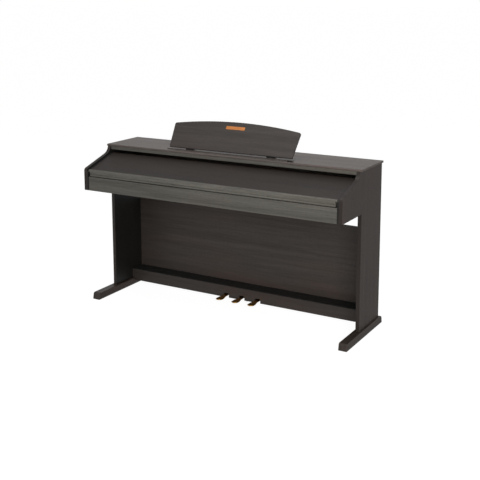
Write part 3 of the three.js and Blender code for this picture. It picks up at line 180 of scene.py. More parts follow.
class ShaderSheet:
    """The node tree of one material or of the world."""

    def __init__(self, tree: bpy.types.NodeTree) -> None:
        """Takes the tree and empties it."""
        self.tree = tree
        tree.nodes.clear()

    @classmethod
    def for_material(cls, name: str) -> tuple[bpy.types.Material, ShaderSheet]:
        """Makes a new material.

        Args:
            name: The material's name.

        Returns:
            The material and its empty sheet.
        """
        material = bpy.data.materials.new(name)
        material.use_nodes = True
        return material, cls(material.node_tree)

    def node(
        self,
        kind: str,
        settings: dict[str, object] | None = None,
        inputs: dict[str | int, Given] | None = None,
    ) -> bpy.types.Node:
        """Adds a node.

        Args:
            kind: The node's type.
            settings: Its settings, such as a Math node's operation, which are set first.
            inputs: What its sockets take, by name or number: a value, a number or a colour.

        Returns:
            The node.
        """
        made = self.tree.nodes.new(kind)
        for name, setting in (settings or {}).items():
            setattr(made, name, setting)
        for name, given in (inputs or {}).items():
            if isinstance(given, Value):
                self.tree.links.new(given.socket, made.inputs[name])
            else:
                made.inputs[name].default_value = given
        return made

    def result(self, node: bpy.types.Node, output: str | int = 0) -> Value:
        """One of a node's outputs as a value."""
        return Value(self, node.outputs[output])

    def coordinates(self, kind: str) -> Value:
        """The texture coordinates of one kind."""
        return self.result(self.node("ShaderNodeTexCoord"), kind)

    def place(self) -> Value:
        """The point on the piece, in the piece's own metres."""
        return self.coordinates("Object")

    def axis(self, vector: Value, name: str) -> Value:
        """A vector's part along X, Y or Z."""
        return self.result(self.node("ShaderNodeSeparateXYZ", None, {0: vector}), name)

    def ray(self, kind: str) -> Value:
        """1 for rays of one kind: Camera, Glossy or Transmission."""
        return self.result(self.node("ShaderNodeLightPath"), f"Is {kind} Ray")

    def shader(self, kind: str, inputs: dict[str | int, Given]) -> Value:
        """One shader and what it takes."""
        return self.result(self.node(kind, None, inputs))

    def noise(self, place: Value, scale: float, detail: float = 2.0, distortion: float = 0.0) -> Value:
        """Soft noise from 0 to 1."""
        inputs = {"Vector": place, "Scale": scale, "Detail": detail, "Distortion": distortion}
        return self.result(self.node("ShaderNodeTexNoise", None, inputs), "Fac")

    def drawn(
        self, place: Value, scales: Sequence[float], detail: float = 2.0, distortion: float = 0.0
    ) -> Value:
        """Soft noise with a scale of its own along each axis."""
        node = self.node("ShaderNodeMapping", None, {"Vector": place, "Scale": scales})
        return self.noise(self.result(node), 1.0, detail, distortion)

    def cells(self, place: Value, scale: float) -> Value:
        """Distance to the nearest of scattered points."""
        node = self.node("ShaderNodeTexVoronoi", None, {"Vector": place, "Scale": scale})
        return self.result(node, "Distance")

    def mix(self, share: Value | float, first: Value | Colour, second: Value | Colour) -> Value:
        """Blends two colours by a share from 0 to 1."""
        inputs = {0: share, MIX_FIRST: first, MIX_SECOND: second}
        return self.result(self.node("ShaderNodeMix", {"data_type": "RGBA"}, inputs), MIX_RESULT)

    def bump(self, height: Value, depth: float, strength: float = 1.0) -> Value:
        """The normal of a surface raised by height times depth in metres."""
        inputs = {"Height": height, "Distance": depth, "Strength": strength}
        return self.result(self.node("ShaderNodeBump", None, inputs))

    def surface(
        self,
        colour: Value,
        roughness: Value | float,
        normal: Value,
        constants: dict[str, float] | None = None,
    ) -> None:
        """Ends the sheet in a Principled surface.

        Args:
            colour: The base colour.
            roughness: The roughness, which may change over the surface.
            normal: The bumped normal.
            constants: Other sockets, each the same all over the surface.
        """
        inputs = {"Base Color": colour, "Roughness": roughness, "Normal": normal, **(constants or {})}
        shader = self.shader("ShaderNodeBsdfPrincipled", inputs)
        self.node("ShaderNodeOutputMaterial", None, {"Surface": shader})


# ------------------------------------------------------------------ finishes

# A scale is in cells per metre, and a pair of them is along and across the grain. A share is how far a mark
# covers what lies under it. A name in _dark, _light or _shade is a factor on a colour.


class Grain(Enum):
    """The way a board's grain runs."""

    ACROSS = "x"
    DEEP = "y"
    UPRIGHT = "z"

    def stretch(self, along: float, over: float) -> tuple[float, float, float]:
        """Scale factors that draw noise out along the grain."""
        return tuple(along if axis == self.value else over for axis in "xyz")


@dataclass(frozen=True)
class Tones:
    """A set of wood-grain shades: the foil's own, and copies made lighter and darker as painted light and
    shade.
    """

    dark: Colour
    light: Colour
    warm: Colour

    def streaked(self, sheet: ShaderSheet, streak: Value, lift: float) -> Value:
        """Dark and light streaks, both lifted by a factor."""
        return sheet.mix(streak, shade(self.dark, lift), shade(self.light, lift))


BOARD_TONES = Tones(srgb(49, 43, 39), srgb(75, 68, 63), srgb(80, 62, 57))
# The front's tones are lighter than the board's, as painted light on the front rails and the key cover's
# nose.
FRONT_TONES = Tones(srgb(70, 68, 62), srgb(109, 106, 99), srgb(104, 93, 85))
# The cover's tones are darker than the board's, as painted shade on the sloping key cover.
COVER_TONES = Tones(srgb(33, 27, 24), srgb(50, 43, 38), srgb(56, 42, 37))
# The top's tones are lighter than the board's, as a painted reflection on the top board.
TOP_TONES = Tones(srgb(69, 62, 58), srgb(108, 98, 92), srgb(108, 89, 83))
# The side's tones are darker than the board's, as painted shade on the side boards and feet.
SIDE_TONES = Tones(srgb(39, 32, 28), srgb(64, 54, 48), srgb(76, 51, 45))
# These near-black tones are painted shade on the legs' inner faces.
LINING_TONES = Tones(srgb(17, 17, 16), srgb(27, 26, 24), srgb(27, 26, 24))

# How much lighter a foil is on its eased edges, as wear and painted highlight, and on the key cover's nose,
# as painted highlight; and half the width over which one set of tones meets the next.
WORN_LIFT = 1.3
SEAM = 0.2 * MM


@dataclass(frozen=True)
class Laminate:
    """Dark wood-grain foil on board, satin, with fine open pores.

    A board may carry more than one set of tones. Ahead of the plane y = nose it takes the front's lighter
    tones, lifted again, as painted light and highlight, and between the planes x = -inner and x = inner
    near-black tones as painted shade. Where a factor of edge shade is given, the faces that don't look
    sideways, which are the edges of an upright board, are darkened by it as painted shade.
    """

    grain: Grain
    tone: float = 1.0
    # On eased edges the foil is smoother, and lighter as wear and painted highlight.
    worn: bool = False
    place: str = "board"
    tones: Tones = BOARD_TONES
    nose: float | None = None
    inner: float | None = None
    banding: float | None = None
    roughness: float = 0.42
    worn_roughness: float = 0.34
    figure_scales: tuple[float, float] = (1.3, 30)
    figure_share: float = 0.55
    fibre_scales: tuple[float, float] = (9, 620)
    fibre_roughness: float = 0.1
    fibre_relief: float = 0.35
    pore_scales: tuple[float, float] = (42, 1500)
    pore_share: float = 0.55
    pore_shade: float = 0.45
    pore_roughness: float = 0.12
    pore_depth: float = 0.12 * MM
    patch_scales: tuple[float, float] = (1.6, 7)
    patch_share: float = 0.35

    @property
    def name(self) -> str:
        """The material's name."""
        return f"{self.place} laminate {self.grain.name.lower()} {self.tone:g}{' edge' if self.worn else ''}"

    def build(self) -> bpy.types.Material:
        """Makes the material.

        Returns:
            The material.
        """
        material, sheet = ShaderSheet.for_material(self.name)
        place = sheet.place()
        figure = sheet.drawn(place, self.grain.stretch(*self.figure_scales), detail=4.0, distortion=0.7)
        fibre = sheet.drawn(place, self.grain.stretch(*self.fibre_scales), detail=3.0)
        pore = sheet.drawn(place, self.grain.stretch(*self.pore_scales), detail=1.0).between(0.58, 0.70)
        coarse, fine = figure.between(0.25, 0.75), fibre.between(0.3, 0.7)
        streak = coarse * self.figure_share + fine * (1 - self.figure_share)
        wood = self._foil(sheet, place, streak)
        hollow = shade(self.tones.dark, self._lift * self.pore_shade)
        wood = sheet.mix(pore * self.pore_share, wood, hollow)
        base = self.worn_roughness if self.worn else self.roughness
        roughness = base + fibre * self.fibre_roughness + pore * self.pore_roughness
        relief = sheet.bump(fibre * self.fibre_relief - pore, self.pore_depth, strength=0.5)
        sheet.surface(wood, roughness, relief, {"Specular IOR Level": 0.5})
        return material

    @property
    def _lift(self) -> float:
        """How far the foil's tones are lifted."""
        return self.tone * (WORN_LIFT if self.worn else 1.0)

    def _foil(self, sheet: ShaderSheet, place: Value, streak: Value) -> Value:
        """Colours the foil, before its pores.

        Args:
            sheet: The material's sheet.
            place: The point on the piece.
            streak: The grain's streaks, from 0 to 1.

        Returns:
            The colour.
        """
        wood = self.tones.streaked(sheet, streak, self._lift)
        # Ahead of the nose plane, the front's lighter tones, lifted again, are painted light and highlight on
        # the key cover's nose.
        if self.nose is not None:
            behind = sheet.axis(place, "Y").between(self.nose - SEAM, self.nose + SEAM)
            wood = sheet.mix(behind, FRONT_TONES.streaked(sheet, streak, WORN_LIFT), wood)
        patch = sheet.drawn(place, self.grain.stretch(*self.patch_scales)).between(0.52, 0.75)
        wood = sheet.mix(patch * self.patch_share, wood, shade(self.tones.warm, self._lift))
        # Faces that don't look sideways, the edges of an upright board, are darkened by a factor as painted
        # shade.
        if self.banding is not None:
            sideways = abs(sheet.axis(sheet.coordinates("Normal"), "X")).between(0.4, 0.6)
            wood = sheet.mix(sideways, self.tones.streaked(sheet, streak, self.banding), wood)
        # Between the planes x = -inner and x = inner, near-black tones as painted shade on the legs' inner
        # faces.
        if self.inner is not None:
            outside = abs(sheet.axis(place, "X")).between(self.inner - SEAM, self.inner + SEAM)
            wood = sheet.mix(outside, LINING_TONES.streaked(sheet, streak, 1.0), wood)
        return wood


@dataclass(frozen=True)
class BlackBoard:
    """Raw near-black board, dull, with pressed fibres."""

    name: str = "black board"
    dark: Colour = srgb(17, 17, 16)
    light: Colour = srgb(30, 29, 27)
    roughness: float = 0.62
    chip_scale: float = 160.0
    chip_roughness: float = 0.2
    chip_depth: float = 0.3 * MM
    cloud_scale: float = 9.0
    cloud_share: float = 0.3

    def build(self) -> bpy.types.Material:
        """Makes the material.

        Returns:
            The material.
        """
        material, sheet = ShaderSheet.for_material(self.name)
        place = sheet.place()
        chips = sheet.noise(place, self.chip_scale, detail=4.0, distortion=1.2)
        cloud = sheet.noise(place, self.cloud_scale, detail=3.0)
        share = chips.between(0.35, 0.7) * (1 - self.cloud_share) + cloud * self.cloud_share
        colour = sheet.mix(share, self.dark, self.light)
        roughness = self.roughness + chips * self.chip_roughness
        sheet.surface(colour, roughness, sheet.bump(chips, self.chip_depth, strength=0.5))
        return material


@dataclass(frozen=True)
class Moulded:
    """Moulded plastic or rubber with a fine sparked texture."""

    name: str
    colour: Colour
    roughness: float
    texture: float = 1.0
    coat: float = 0.0
    coat_roughness: float = 0.12
    roughness_dip: float = 0.05
    spark_scale: float = 2600.0
    spark_roughness: float = 0.08
    spark_depth: float = 0.04 * MM
    cloud_scale: float = 14.0
    cloud_dark: float = 0.88
    cloud_light: float = 1.08
    rub_scale: float = 55.0
    rub_share: float = 0.25
    rub_light: float = 1.3
    rub_roughness: float = 0.06

    def build(self) -> bpy.types.Material:
        """Makes the material.

        Returns:
            The material.
        """
        material, sheet = ShaderSheet.for_material(self.name)
        place = sheet.place()
        spark = sheet.noise(place, self.spark_scale)
        cloud = sheet.noise(place, self.cloud_scale, detail=3.0)
        rub = sheet.noise(place, self.rub_scale, detail=4.0, distortion=0.8).between(0.5, 0.75)
        dark, light = shade(self.colour, self.cloud_dark), shade(self.colour, self.cloud_light)
        colour = sheet.mix(cloud.between(0.3, 0.7), dark, light)
        colour = sheet.mix(rub * self.rub_share, colour, shade(self.colour, self.rub_light))
        base = self.roughness - self.roughness_dip
        roughness = base + spark * self.spark_roughness + rub * self.rub_roughness
        relief = sheet.bump(spark, self.spark_depth * self.texture, strength=0.6)
        constants = {"Coat Weight": self.coat, "Coat Roughness": self.coat_roughness}
        sheet.surface(colour, roughness, relief, constants)
        return material


@dataclass(frozen=True)
class KeyTop:
    """A key's moulded top: glossy white or satin black, faintly streaked like ivory or ebony."""

    name: str
    pale: Colour
    deep: Colour
    roughness: float
    coat: float
    coat_roughness: float = 0.08
    streak_scales: tuple[float, float] = (14, 420)
    streak_share: float = 0.6
    streak_depth: float = 0.03 * MM
    touch_scale: float = 28.0
    touch_share: float = 0.3
    touch_roughness: float = 0.1

    def build(self) -> bpy.types.Material:
        """Makes the material.

        Returns:
            The material.
        """
        material, sheet = ShaderSheet.for_material(self.name)
        place = sheet.place()
        scales = Grain.DEEP.stretch(*self.streak_scales)
        streak = sheet.drawn(place, scales, detail=3.0, distortion=0.4)
        touch = sheet.noise(place, self.touch_scale, detail=3.0)
        share = streak.between(0.35, 0.7) * self.streak_share + touch * self.touch_share
        colour = sheet.mix(share, self.pale, self.deep)
        roughness = self.roughness + touch.between(0.4, 0.75) * self.touch_roughness
        relief = sheet.bump(streak, self.streak_depth, strength=0.4)
        constants = {"Coat Weight": self.coat, "Coat Roughness": self.coat_roughness}
        sheet.surface(colour, roughness, relief, constants)
        return material


@dataclass(frozen=True)
class Metal:
    """Metal drawn or brushed along one way, with handling marks."""

    name: str
    colour: Colour
    grain: Grain
    roughness: float
    tarnish: Colour | None = None
    roughness_dip: float = 0.06
    brush_scales: tuple[float, float] = (30, 2200)
    brush_roughness: float = 0.12
    brush_depth: float = 0.02 * MM
    cloud_scale: float = 36.0
    cloud_roughness: float = 0.12
    stain_share: float = 0.5
    stain_shade: float = 0.6

    def build(self) -> bpy.types.Material:
        """Makes the material.

        Returns:
            The material.
        """
        material, sheet = ShaderSheet.for_material(self.name)
        place = sheet.place()
        brush = sheet.drawn(place, self.grain.stretch(*self.brush_scales))
        cloud = sheet.noise(place, self.cloud_scale, detail=4.0, distortion=0.6)
        stain = self.tarnish or shade(self.colour, self.stain_shade)
        colour = sheet.mix(cloud.between(0.5, 0.8) * self.stain_share, self.colour, stain)
        base = self.roughness - self.roughness_dip
        roughness = base + brush * self.brush_roughness + cloud.between(0.45, 0.8) * self.cloud_roughness
        sheet.surface(colour, roughness, sheet.bump(brush, self.brush_depth, strength=0.5), {"Metallic": 1.0})
        return material


@dataclass(frozen=True)
class Painted:
    """Powder-coated steel, slightly pebbled."""

    name: str
    colour: Colour
    roughness: float = 0.44
    metallic: float = 0.2
    pebble_scale: float = 900.0
    pebble_roughness: float = 0.14
    pebble_depth: float = 0.06 * MM
    wear_scale: float = 60.0
    wear_share: float = 0.4
    wear_light: float = 2.2

    def build(self) -> bpy.types.Material:
        """Makes the material.

        Returns:
            The material.
        """
        material, sheet = ShaderSheet.for_material(self.name)
        place = sheet.place()
        pebble = sheet.noise(place, self.pebble_scale)
        wear = sheet.noise(place, self.wear_scale, detail=5.0, distortion=1.0).between(0.6, 0.78)
        colour = sheet.mix(wear * self.wear_share, self.colour, shade(self.colour, self.wear_light))
        roughness = self.roughness + pebble * self.pebble_roughness
        relief = sheet.bump(pebble, self.pebble_depth, strength=0.7)
        sheet.surface(colour, roughness, relief, {"Metallic": self.metallic})
        return material


@dataclass(frozen=True)
class CircuitBoard:
    """Green solder mask over copper tracks."""

    name: str = "circuit board"
    mask: Colour = srgb(26, 84, 50)
    track: Colour = srgb(44, 116, 70)
    solder: Colour = srgb(190, 188, 176)
    solder_share: float = 0.7
    roughness: float = 0.34
    lane_scales: tuple[float, float, float] = (22, 480, 60)
    lane_roughness: float = 0.08
    pad_scale: float = 260.0
    copper_height: float = 0.05 * MM

    def build(self) -> bpy.types.Material:
        """Makes the material.

        Returns:
            The material.
        """
        material, sheet = ShaderSheet.for_material(self.name)
        place = sheet.place()
        lanes = sheet.drawn(place, self.lane_scales, detail=1.0).between(0.52, 0.56)
        pads = 1 - sheet.cells(place, self.pad_scale).between(0.16, 0.24)
        colour = sheet.mix(lanes, self.mask, self.track)
        colour = sheet.mix(pads * self.solder_share, colour, self.solder)
        roughness = self.roughness + lanes * self.lane_roughness
        sheet.surface(colour, roughness, sheet.bump(lanes | pads, self.copper_height))
        return material


@dataclass(frozen=True)
class Felt:
    """Pressed wool felt."""

    name: str
    colour: Colour
    roughness: float = 0.93
    wool_scale: float = 1100.0
    wool_dark: float = 0.6
    wool_light: float = 1.3
    lump_scale: float = 140.0
    lump_share: float = 0.4
    nap_height: float = 0.4 * MM

    def build(self) -> bpy.types.Material:
        """Makes the material.

        Returns:
            The material.
        """
        material, sheet = ShaderSheet.for_material(self.name)
        place = sheet.place()
        wool = sheet.noise(place, self.wool_scale, detail=5.0, distortion=2.5)
        lump = sheet.noise(place, self.lump_scale, detail=3.0)
        dark, light = shade(self.colour, self.wool_dark), shade(self.colour, self.wool_light)
        colour = sheet.mix(wool.between(0.3, 0.7), dark, light)
        relief = sheet.bump(wool * (1 - self.lump_share) + lump * self.lump_share, self.nap_height)
        constants = {"Sheen Weight": 0.6, "Sheen Roughness": 0.5, "Specular IOR Level": 0.1}
        sheet.surface(colour, self.roughness, relief, constants)
        return material


Finish = Laminate | BlackBoard | Moulded | KeyTop | Metal | Painted | CircuitBoard | Felt

IVORY = KeyTop("white key", srgb(243, 241, 234), srgb(233, 229, 216), roughness=0.2, coat=0.5)
EBONY = KeyTop("black key", srgb(17, 17, 18), srgb(28, 27, 27), roughness=0.34, coat=0.1)
BLACK_PLASTIC = Moulded("black plastic", srgb(27, 27, 28), roughness=0.44)
BUTTON_PLASTIC = Moulded("button plastic", srgb(52, 52, 54), roughness=0.36, texture=0.5)
GLIDE_PLASTIC = Moulded("guide plastic", srgb(33, 33, 34), roughness=0.3, texture=0.4)
RUBBER = Moulded("rubber", srgb(22, 22, 22), roughness=0.8, texture=2.0)
WHITE_PRINT = Moulded("white print", srgb(205, 205, 200), roughness=0.5, texture=0.2)
GREEN_LENS = Moulded("pilot lens", srgb(70, 150, 84), roughness=0.16, texture=0.1, coat=1.0)
BRASS = Metal("pedal brass", srgb(214, 164, 74), Grain.DEEP, 0.2, srgb(150, 98, 40))
BADGE_BRASS = Metal("badge brass", srgb(214, 140, 84), Grain.ACROSS, 0.38, srgb(182, 110, 60))
STEEL = Metal("bright steel", srgb(186, 187, 190), Grain.ACROSS, 0.26)
SPRING_STEEL = Metal("spring steel", srgb(150, 151, 154), Grain.UPRIGHT, 0.34)
SCREW_STEEL = Metal("blackened screw", srgb(70, 70, 72), Grain.ACROSS, 0.4)
NICKEL = Metal("nickel", srgb(196, 192, 184), Grain.UPRIGHT, 0.24)
DARK_STEEL = Painted("dark steel", srgb(36, 36, 37))
BLACK_BOARD = BlackBoard()
GREEN_BOARD = CircuitBoard()
RED_FELT = Felt("red felt", srgb(104, 26, 28))

_made: dict[str, bpy.types.Material] = {}


def material_of(finish: Finish) -> bpy.types.Material:
    """Makes a finish's material, but only once.

    Args:
        finish: The finish.

    Returns:
        Its material.
    """
    if finish.name not in _made:
        _made[finish.name] = finish.build()
    return _made[finish.name]


# ------------------------------------------------------------------ surfaces


@dataclass
class Easing:
    """Turns the frame's faceted pieces into crisp ones with eased edges."""

    weld_distance: float = 0.02 * MM
    flat_angle: float = math.radians(0.4)
    edge_angle: float = math.radians(34)
    sharp_angle: float = math.radians(50)

    def __post_init__(self) -> None:
        """Builds the shading group that all pieces share."""
        self.shading = self._shading_group()

    def _shading_group(self) -> bpy.types.NodeTree:
        """Makes a modifier group: smooth faces, sharp edges past an angle, no custom normals.

        Returns:
            The group.
        """
        group = bpy.data.node_groups.new("crisp shading", "GeometryNodeTree")
        group.is_modifier = True
        group.interface.new_socket("Geometry", in_out="INPUT", socket_type="NodeSocketGeometry")
        group.interface.new_socket("Geometry", in_out="OUTPUT", socket_type="NodeSocketGeometry")
        nodes, links = group.nodes, group.links
        start, end = nodes.new("NodeGroupInput"), nodes.new("NodeGroupOutput")
        angle = nodes.new("GeometryNodeInputMeshEdgeAngle")
        sharp = nodes.new("FunctionNodeCompare")
        sharp.data_type, sharp.operation = "FLOAT", "GREATER_THAN"
        sharp.inputs["B"].default_value = self.sharp_angle
        normals = nodes.new("GeometryNodeSetMeshNormal")
        normals.mode = "SHARPNESS"
        normals.inputs["Remove Custom"].default_value = True
        normals.inputs["Face Sharpness"].default_value = False
        links.new(angle.outputs["Unsigned Angle"], sharp.inputs["A"])
        links.new(start.outputs[0], normals.inputs["Mesh"])
        links.new(sharp.outputs["Result"], normals.inputs["Edge Sharpness"])
        links.new(normals.outputs["Mesh"], end.inputs[0])
        return group

    def apply(
        self, piece: bpy.types.Object, radius: float = 0.0, segments: int = 2, flatten: bool = True
    ) -> None:
        """Adds the modifiers.

        Args:
            piece: A frame node or a new piece.
            radius: How far its edges are eased, in metres; 0 leaves them.
            segments: Facets across an eased edge.
            flatten: Whether facets in one plane become one face first.
        """
        weld = piece.modifiers.new("weld", "WELD")
        weld.merge_threshold = self.weld_distance
        if flatten:
            flat = piece.modifiers.new("flat faces", "DECIMATE")
            flat.decimate_type = "DISSOLVE"
            flat.angle_limit = self.flat_angle
        if radius:
            bevel = piece.modifiers.new("eased edges", "BEVEL")
            bevel.width = radius
            bevel.segments = segments
            bevel.limit_method = "ANGLE"
            bevel.angle_limit = self.edge_angle
            bevel.use_clamp_overlap = True
            bevel.material = 1 if len(piece.data.materials) > 1 else -1
        crisp = piece.modifiers.new("crisp shading", "NODES")
        crisp.node_group = self.shading
        weighted = piece.modifiers.new("even normals", "WEIGHTED_NORMAL")
        weighted.keep_sharp = True


EASING = Easing()


def dress(
    name: str,
    finish: Finish,
    radius: float = 0.0,
    edge: Finish | None = None,
    segments: int = 2,
    flatten: bool = True,
) -> None:
    """Gives a frame node its finish and its eased edges.

    Args:
        name: The frame node.
        finish: Its finish.
        radius: How far its edges are eased, in metres.
        edge: The finish of the eased edges, if it differs.
        segments: Facets across an eased edge.
        flatten: Whether facets in one plane become one face first.
    """
    node = NODES[name]
    node.data.materials.clear()
    node.data.materials.append(material_of(finish))
    if edge is not None:
        node.data.materials.append(material_of(edge))
    EASING.apply(node, radius, segments, flatten)
    log.info("dressed %s in %s", name, finish.name)


def dress_board(name: str, foil: Laminate, radius: float, segments: int = 2) -> None:
    """Gives a board its foil, lighter along the eased edges, as wear and painted highlight."""
    dress(name, foil, radius, replace(foil, worn=True), segments)


# The share of a full turn at which a spoke points straight up.
STRAIGHT_UP = 0.25


def spoke(radius: float, share: float) -> tuple[float, float]:
    """The point on a circle about the origin after a share of a full turn."""
    angle = 2 * math.pi * share
    return radius * math.cos(angle), radius * math.sin(angle)


class Shaper:
    """Collects mesh shapes in the row frame, then makes one piece of them."""

    def __init__(self) -> None:
        """Starts empty."""
        self.mesh = bmesh.new()

    def lathe(self, place: Matrix, profile: Sequence[tuple[float, float]], segments: int) -> None:
        """Turns a profile about the place's z axis.

        Args:
            place: Where the shape stands.
            profile: Its radii and heights in order; a radius of 0 is one point on the axis.
            segments: Facets round the axis.
        """
        rings: list[list[bmesh.types.BMVert]] = []
        for radius, height in profile:
            steps = 1 if radius == 0 else segments
            ring = [Vector((*spoke(radius, step / steps), height)) for step in range(steps)]
            rings.append([self.mesh.verts.new(place @ point) for point in ring])
        for lower, upper in zip(rings, rings[1:]):
            self.bridge(lower, upper, segments)

    def bridge(
        self, lower: list[bmesh.types.BMVert], upper: list[bmesh.types.BMVert], segments: int
    ) -> None:
        """Joins two rings.

        Args:
            lower: One ring's points; it may be a single point.
            upper: The other's.
            segments: Facets between them.
        """
        for step in range(segments):
            after = (step + 1) % segments
            corners = [lower[step % len(lower)], lower[after % len(lower)]]
            corners += [upper[after % len(upper)], upper[step % len(upper)]]
            distinct = list(dict.fromkeys(corners))
            if len(distinct) > 2:
                self.mesh.faces.new(distinct)

    def loft(self, sections: Sequence[Sequence[Vector]]) -> None:
        """Skins closed sections and caps both ends.

        Args:
            sections: The sections in order, each with as many points as the others.
        """
        rings = [[self.mesh.verts.new(point) for point in section] for section in sections]
        for lower, upper in zip(rings, rings[1:]):
            self.bridge(lower, upper, len(lower))
        self.mesh.faces.new(list(reversed(rings[0])))
        self.mesh.faces.new(rings[-1])

    def plate(self, place: Matrix, outline: Sequence[tuple[float, float]], low: float, high: float) -> None:
        """Extrudes an outline in the place's x-y plane from one height to another."""
        self.loft([[place @ Vector((x, y, height)) for x, y in outline] for height in (low, high)])

    def piece(
        self, name: str, finish: Finish, body: str = "root", slot: str | None = None, radius: float = 0.0
    ) -> bpy.types.Object:
        """Makes the piece and puts it on its body.

        Args:
            name: The piece's name.
            finish: Its finish.
            body: The frame body it rides on.
            slot: The record's material slot; not used.
            radius: How far its edges are eased, in metres.

        Returns:
            The new object.
        """
        bmesh.ops.recalc_face_normals(self.mesh, faces=self.mesh.faces)
        data = bpy.data.meshes.new(name)
        self.mesh.to_mesh(data)
        self.mesh.free()
        made = bpy.data.objects.new(name, data)
        bpy.context.scene.collection.objects.link(made)
        data.materials.append(material_of(finish))
        EASING.apply(made, radius)
        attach(made, body)
        log.info("made %s on %s", name, body)
        return made


def rounded(width: float, depth: float, radius: float, steps: int = 4) -> list[tuple[float, float]]:
    """Outlines a rectangle about the origin with rounded corners.

    Args:
        width: Its size along x.
        depth: Its size along y.
        radius: The corners' radius.
        steps: Facets in each corner.

    Returns:
        The outline's points, counter-clockwise.
    """
    outline = []
    for quarter, (across, up) in enumerate(((1, 1), (-1, 1), (-1, -1), (1, -1))):
        for step in range(steps + 1):
            x, y = spoke(radius, (quarter + step / steps) / 4)
            outline.append((across * (width / 2 - radius) + x, up * (depth / 2 - radius) + y))
    return outline


BACK = Vector((0, 1, 0))
FRONT = Vector((0, -1, 0))
UP = Vector((0, 0, 1))


def facing(point: Vector, normal: Vector, up: Vector = UP) -> Matrix:
    """Makes a frame that stands on a surface.

    Args:
        point: Its origin.
        normal: Where its z axis points.
        up: Where its y axis points, as nearly as it can.

    Returns:
        The frame.
    """
    z = normal.normalized()
    x = up.cross(z).normalized()
    turn = Matrix((x, z.cross(x), z)).transposed().to_4x4()
    return Matrix.Translation(point) @ turn


@dataclass
class Screws:
    """Pan-head screws with a crossed recess, whose arms are given as shares of the head's radius."""

    radius: float = 4 * MM
    height: float = 1.8 * MM
    recess: float = 1.3 * MM
    arm_length: float = 0.62
    arm_half_width: float = 0.17
    doming: float = 0.62
    rings: int = 6
    segments: int = 32

    def _sink(self, x: float, y: float) -> float:
        """Measures the crossed recess.

        Args:
            x: A point's place on the head.
            y: Its other coordinate.

        Returns:
            How deep the recess is there, from 0 to 1.
        """
        reach, half = self.radius * self.arm_length, self.radius * self.arm_half_width
        inside = min(abs(x), abs(y)) < half and max(abs(x), abs(y)) < reach
        return 1.0 - 0.5 * math.hypot(x, y) / reach if inside else 0.0

    def _ring(self, share: float) -> list[Vector]:
        """Rounds the head at a share of its radius.

        Args:
            share: The share, from 0 to 1.

        Returns:
            The ring's points.
        """
        dome = self.height * math.sqrt(1 - self.doming * share ** 2)
        spots = [spoke(self.radius * share, turn / self.segments) for turn in range(self.segments)]
        return [Vector((x, y, dome - self.recess * self._sink(x, y))) for x, y in spots]

    def add(self, shaper: Shaper, place: Matrix) -> None:
        """Adds one screw head.

        Args:
            shaper: What it is added to.
            place: The head stands on this frame's x-y plane.
        """
        foot = [Vector((*spoke(self.radius, turn / self.segments), 0)) for turn in range(self.segments)]
        head = [self._ring(ring / self.rings) for ring in range(1, self.rings + 1)]
        before = [shaper.mesh.verts.new(place @ Vector((0, 0, self.height - self.recess)))]
        for points in (*head, foot):
            now = [shaper.mesh.verts.new(place @ point) for point in points]
            shaper.bridge(now, before, self.segments)
            before = now
        shaper.mesh.faces.new(list(reversed(before)))

    def piece(self, name: str, places: Iterable[Matrix]) -> None:
        """Makes one fixed piece of several screws.

        Args:
            name: The piece's name.
            places: Where they are.
        """
        shaper = Shaper()
        for place in places:
            self.add(shaper, place)
        shaper.piece(name, SCREW_STEEL, slot="dark_steel")


# ------------------------------------------------------------------ sub-assemblies


@dataclass
class Cabinet:
    """Side boards, feet, top, rails, key bed and back.

    The legs' inner faces are near-black as painted shade, inside a plane set from the end of the stand's back
    panel.
    """

    board_edge: float = 1.0 * MM
    foot_edge: float = 3.0 * MM
    side_edge: float = 1.6 * MM
    lining_gap: float = 0.8 * MM
    # The factor of painted shade on the side boards' edges.
    banding: float = 0.6
    screw_inset: float = 9 * MM
    rear_screws: int = 8
    screws: Screws = field(default_factory=Screws)

    def build(self) -> None:
        """Dresses the boards and fixes the back."""
        _, between_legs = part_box("stand_back_panel")
        # The plane inside which the legs' faces take near-black painted shade.
        inner = between_legs.x + self.lining_gap
        # Side boards and feet take darker tones as painted shade.
        feet = Laminate(Grain.DEEP, place="side", tones=SIDE_TONES)
        # The side boards' edges are darkened as painted shade.
        sides = replace(feet, grain=Grain.UPRIGHT, inner=inner, banding=self.banding)
        for side in ("left", "right"):
            dress_board(f"side_panel_{side}", sides, self.side_edge, segments=3)
            dress_board(f"foot_{side}", feet, self.foot_edge, segments=3)
        back = Laminate(Grain.ACROSS)
        # The top board takes lighter tones as a painted reflection.
        top = replace(back, place="top", tones=TOP_TONES)
        # The front rails take lighter tones as painted light.
        front = replace(back, place="front", tones=FRONT_TONES)
        dress_board("top_board", top, self.board_edge)
        for foil, names in ((back, ("rear_panel", "key_bed")), (front, ("upper_rail", "front_rail"))):
            for name in names:
                dress_board(name, foil, self.board_edge)
        self._rear_screws()

    def _rear_screws(self) -> None:
        """Screws along the rear panel's upper and lower edges."""
        low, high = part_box("rear_panel")
        places = []
        for height in (low.z + self.screw_inset, high.z - self.screw_inset):
            for index in range(self.rear_screws):
                share = (index + 0.5) / self.rear_screws
                places.append(facing(Vector((low.x + share * (high.x - low.x), high.y, height)), BACK))
        self.screws.piece("rear_panel_screws", places)


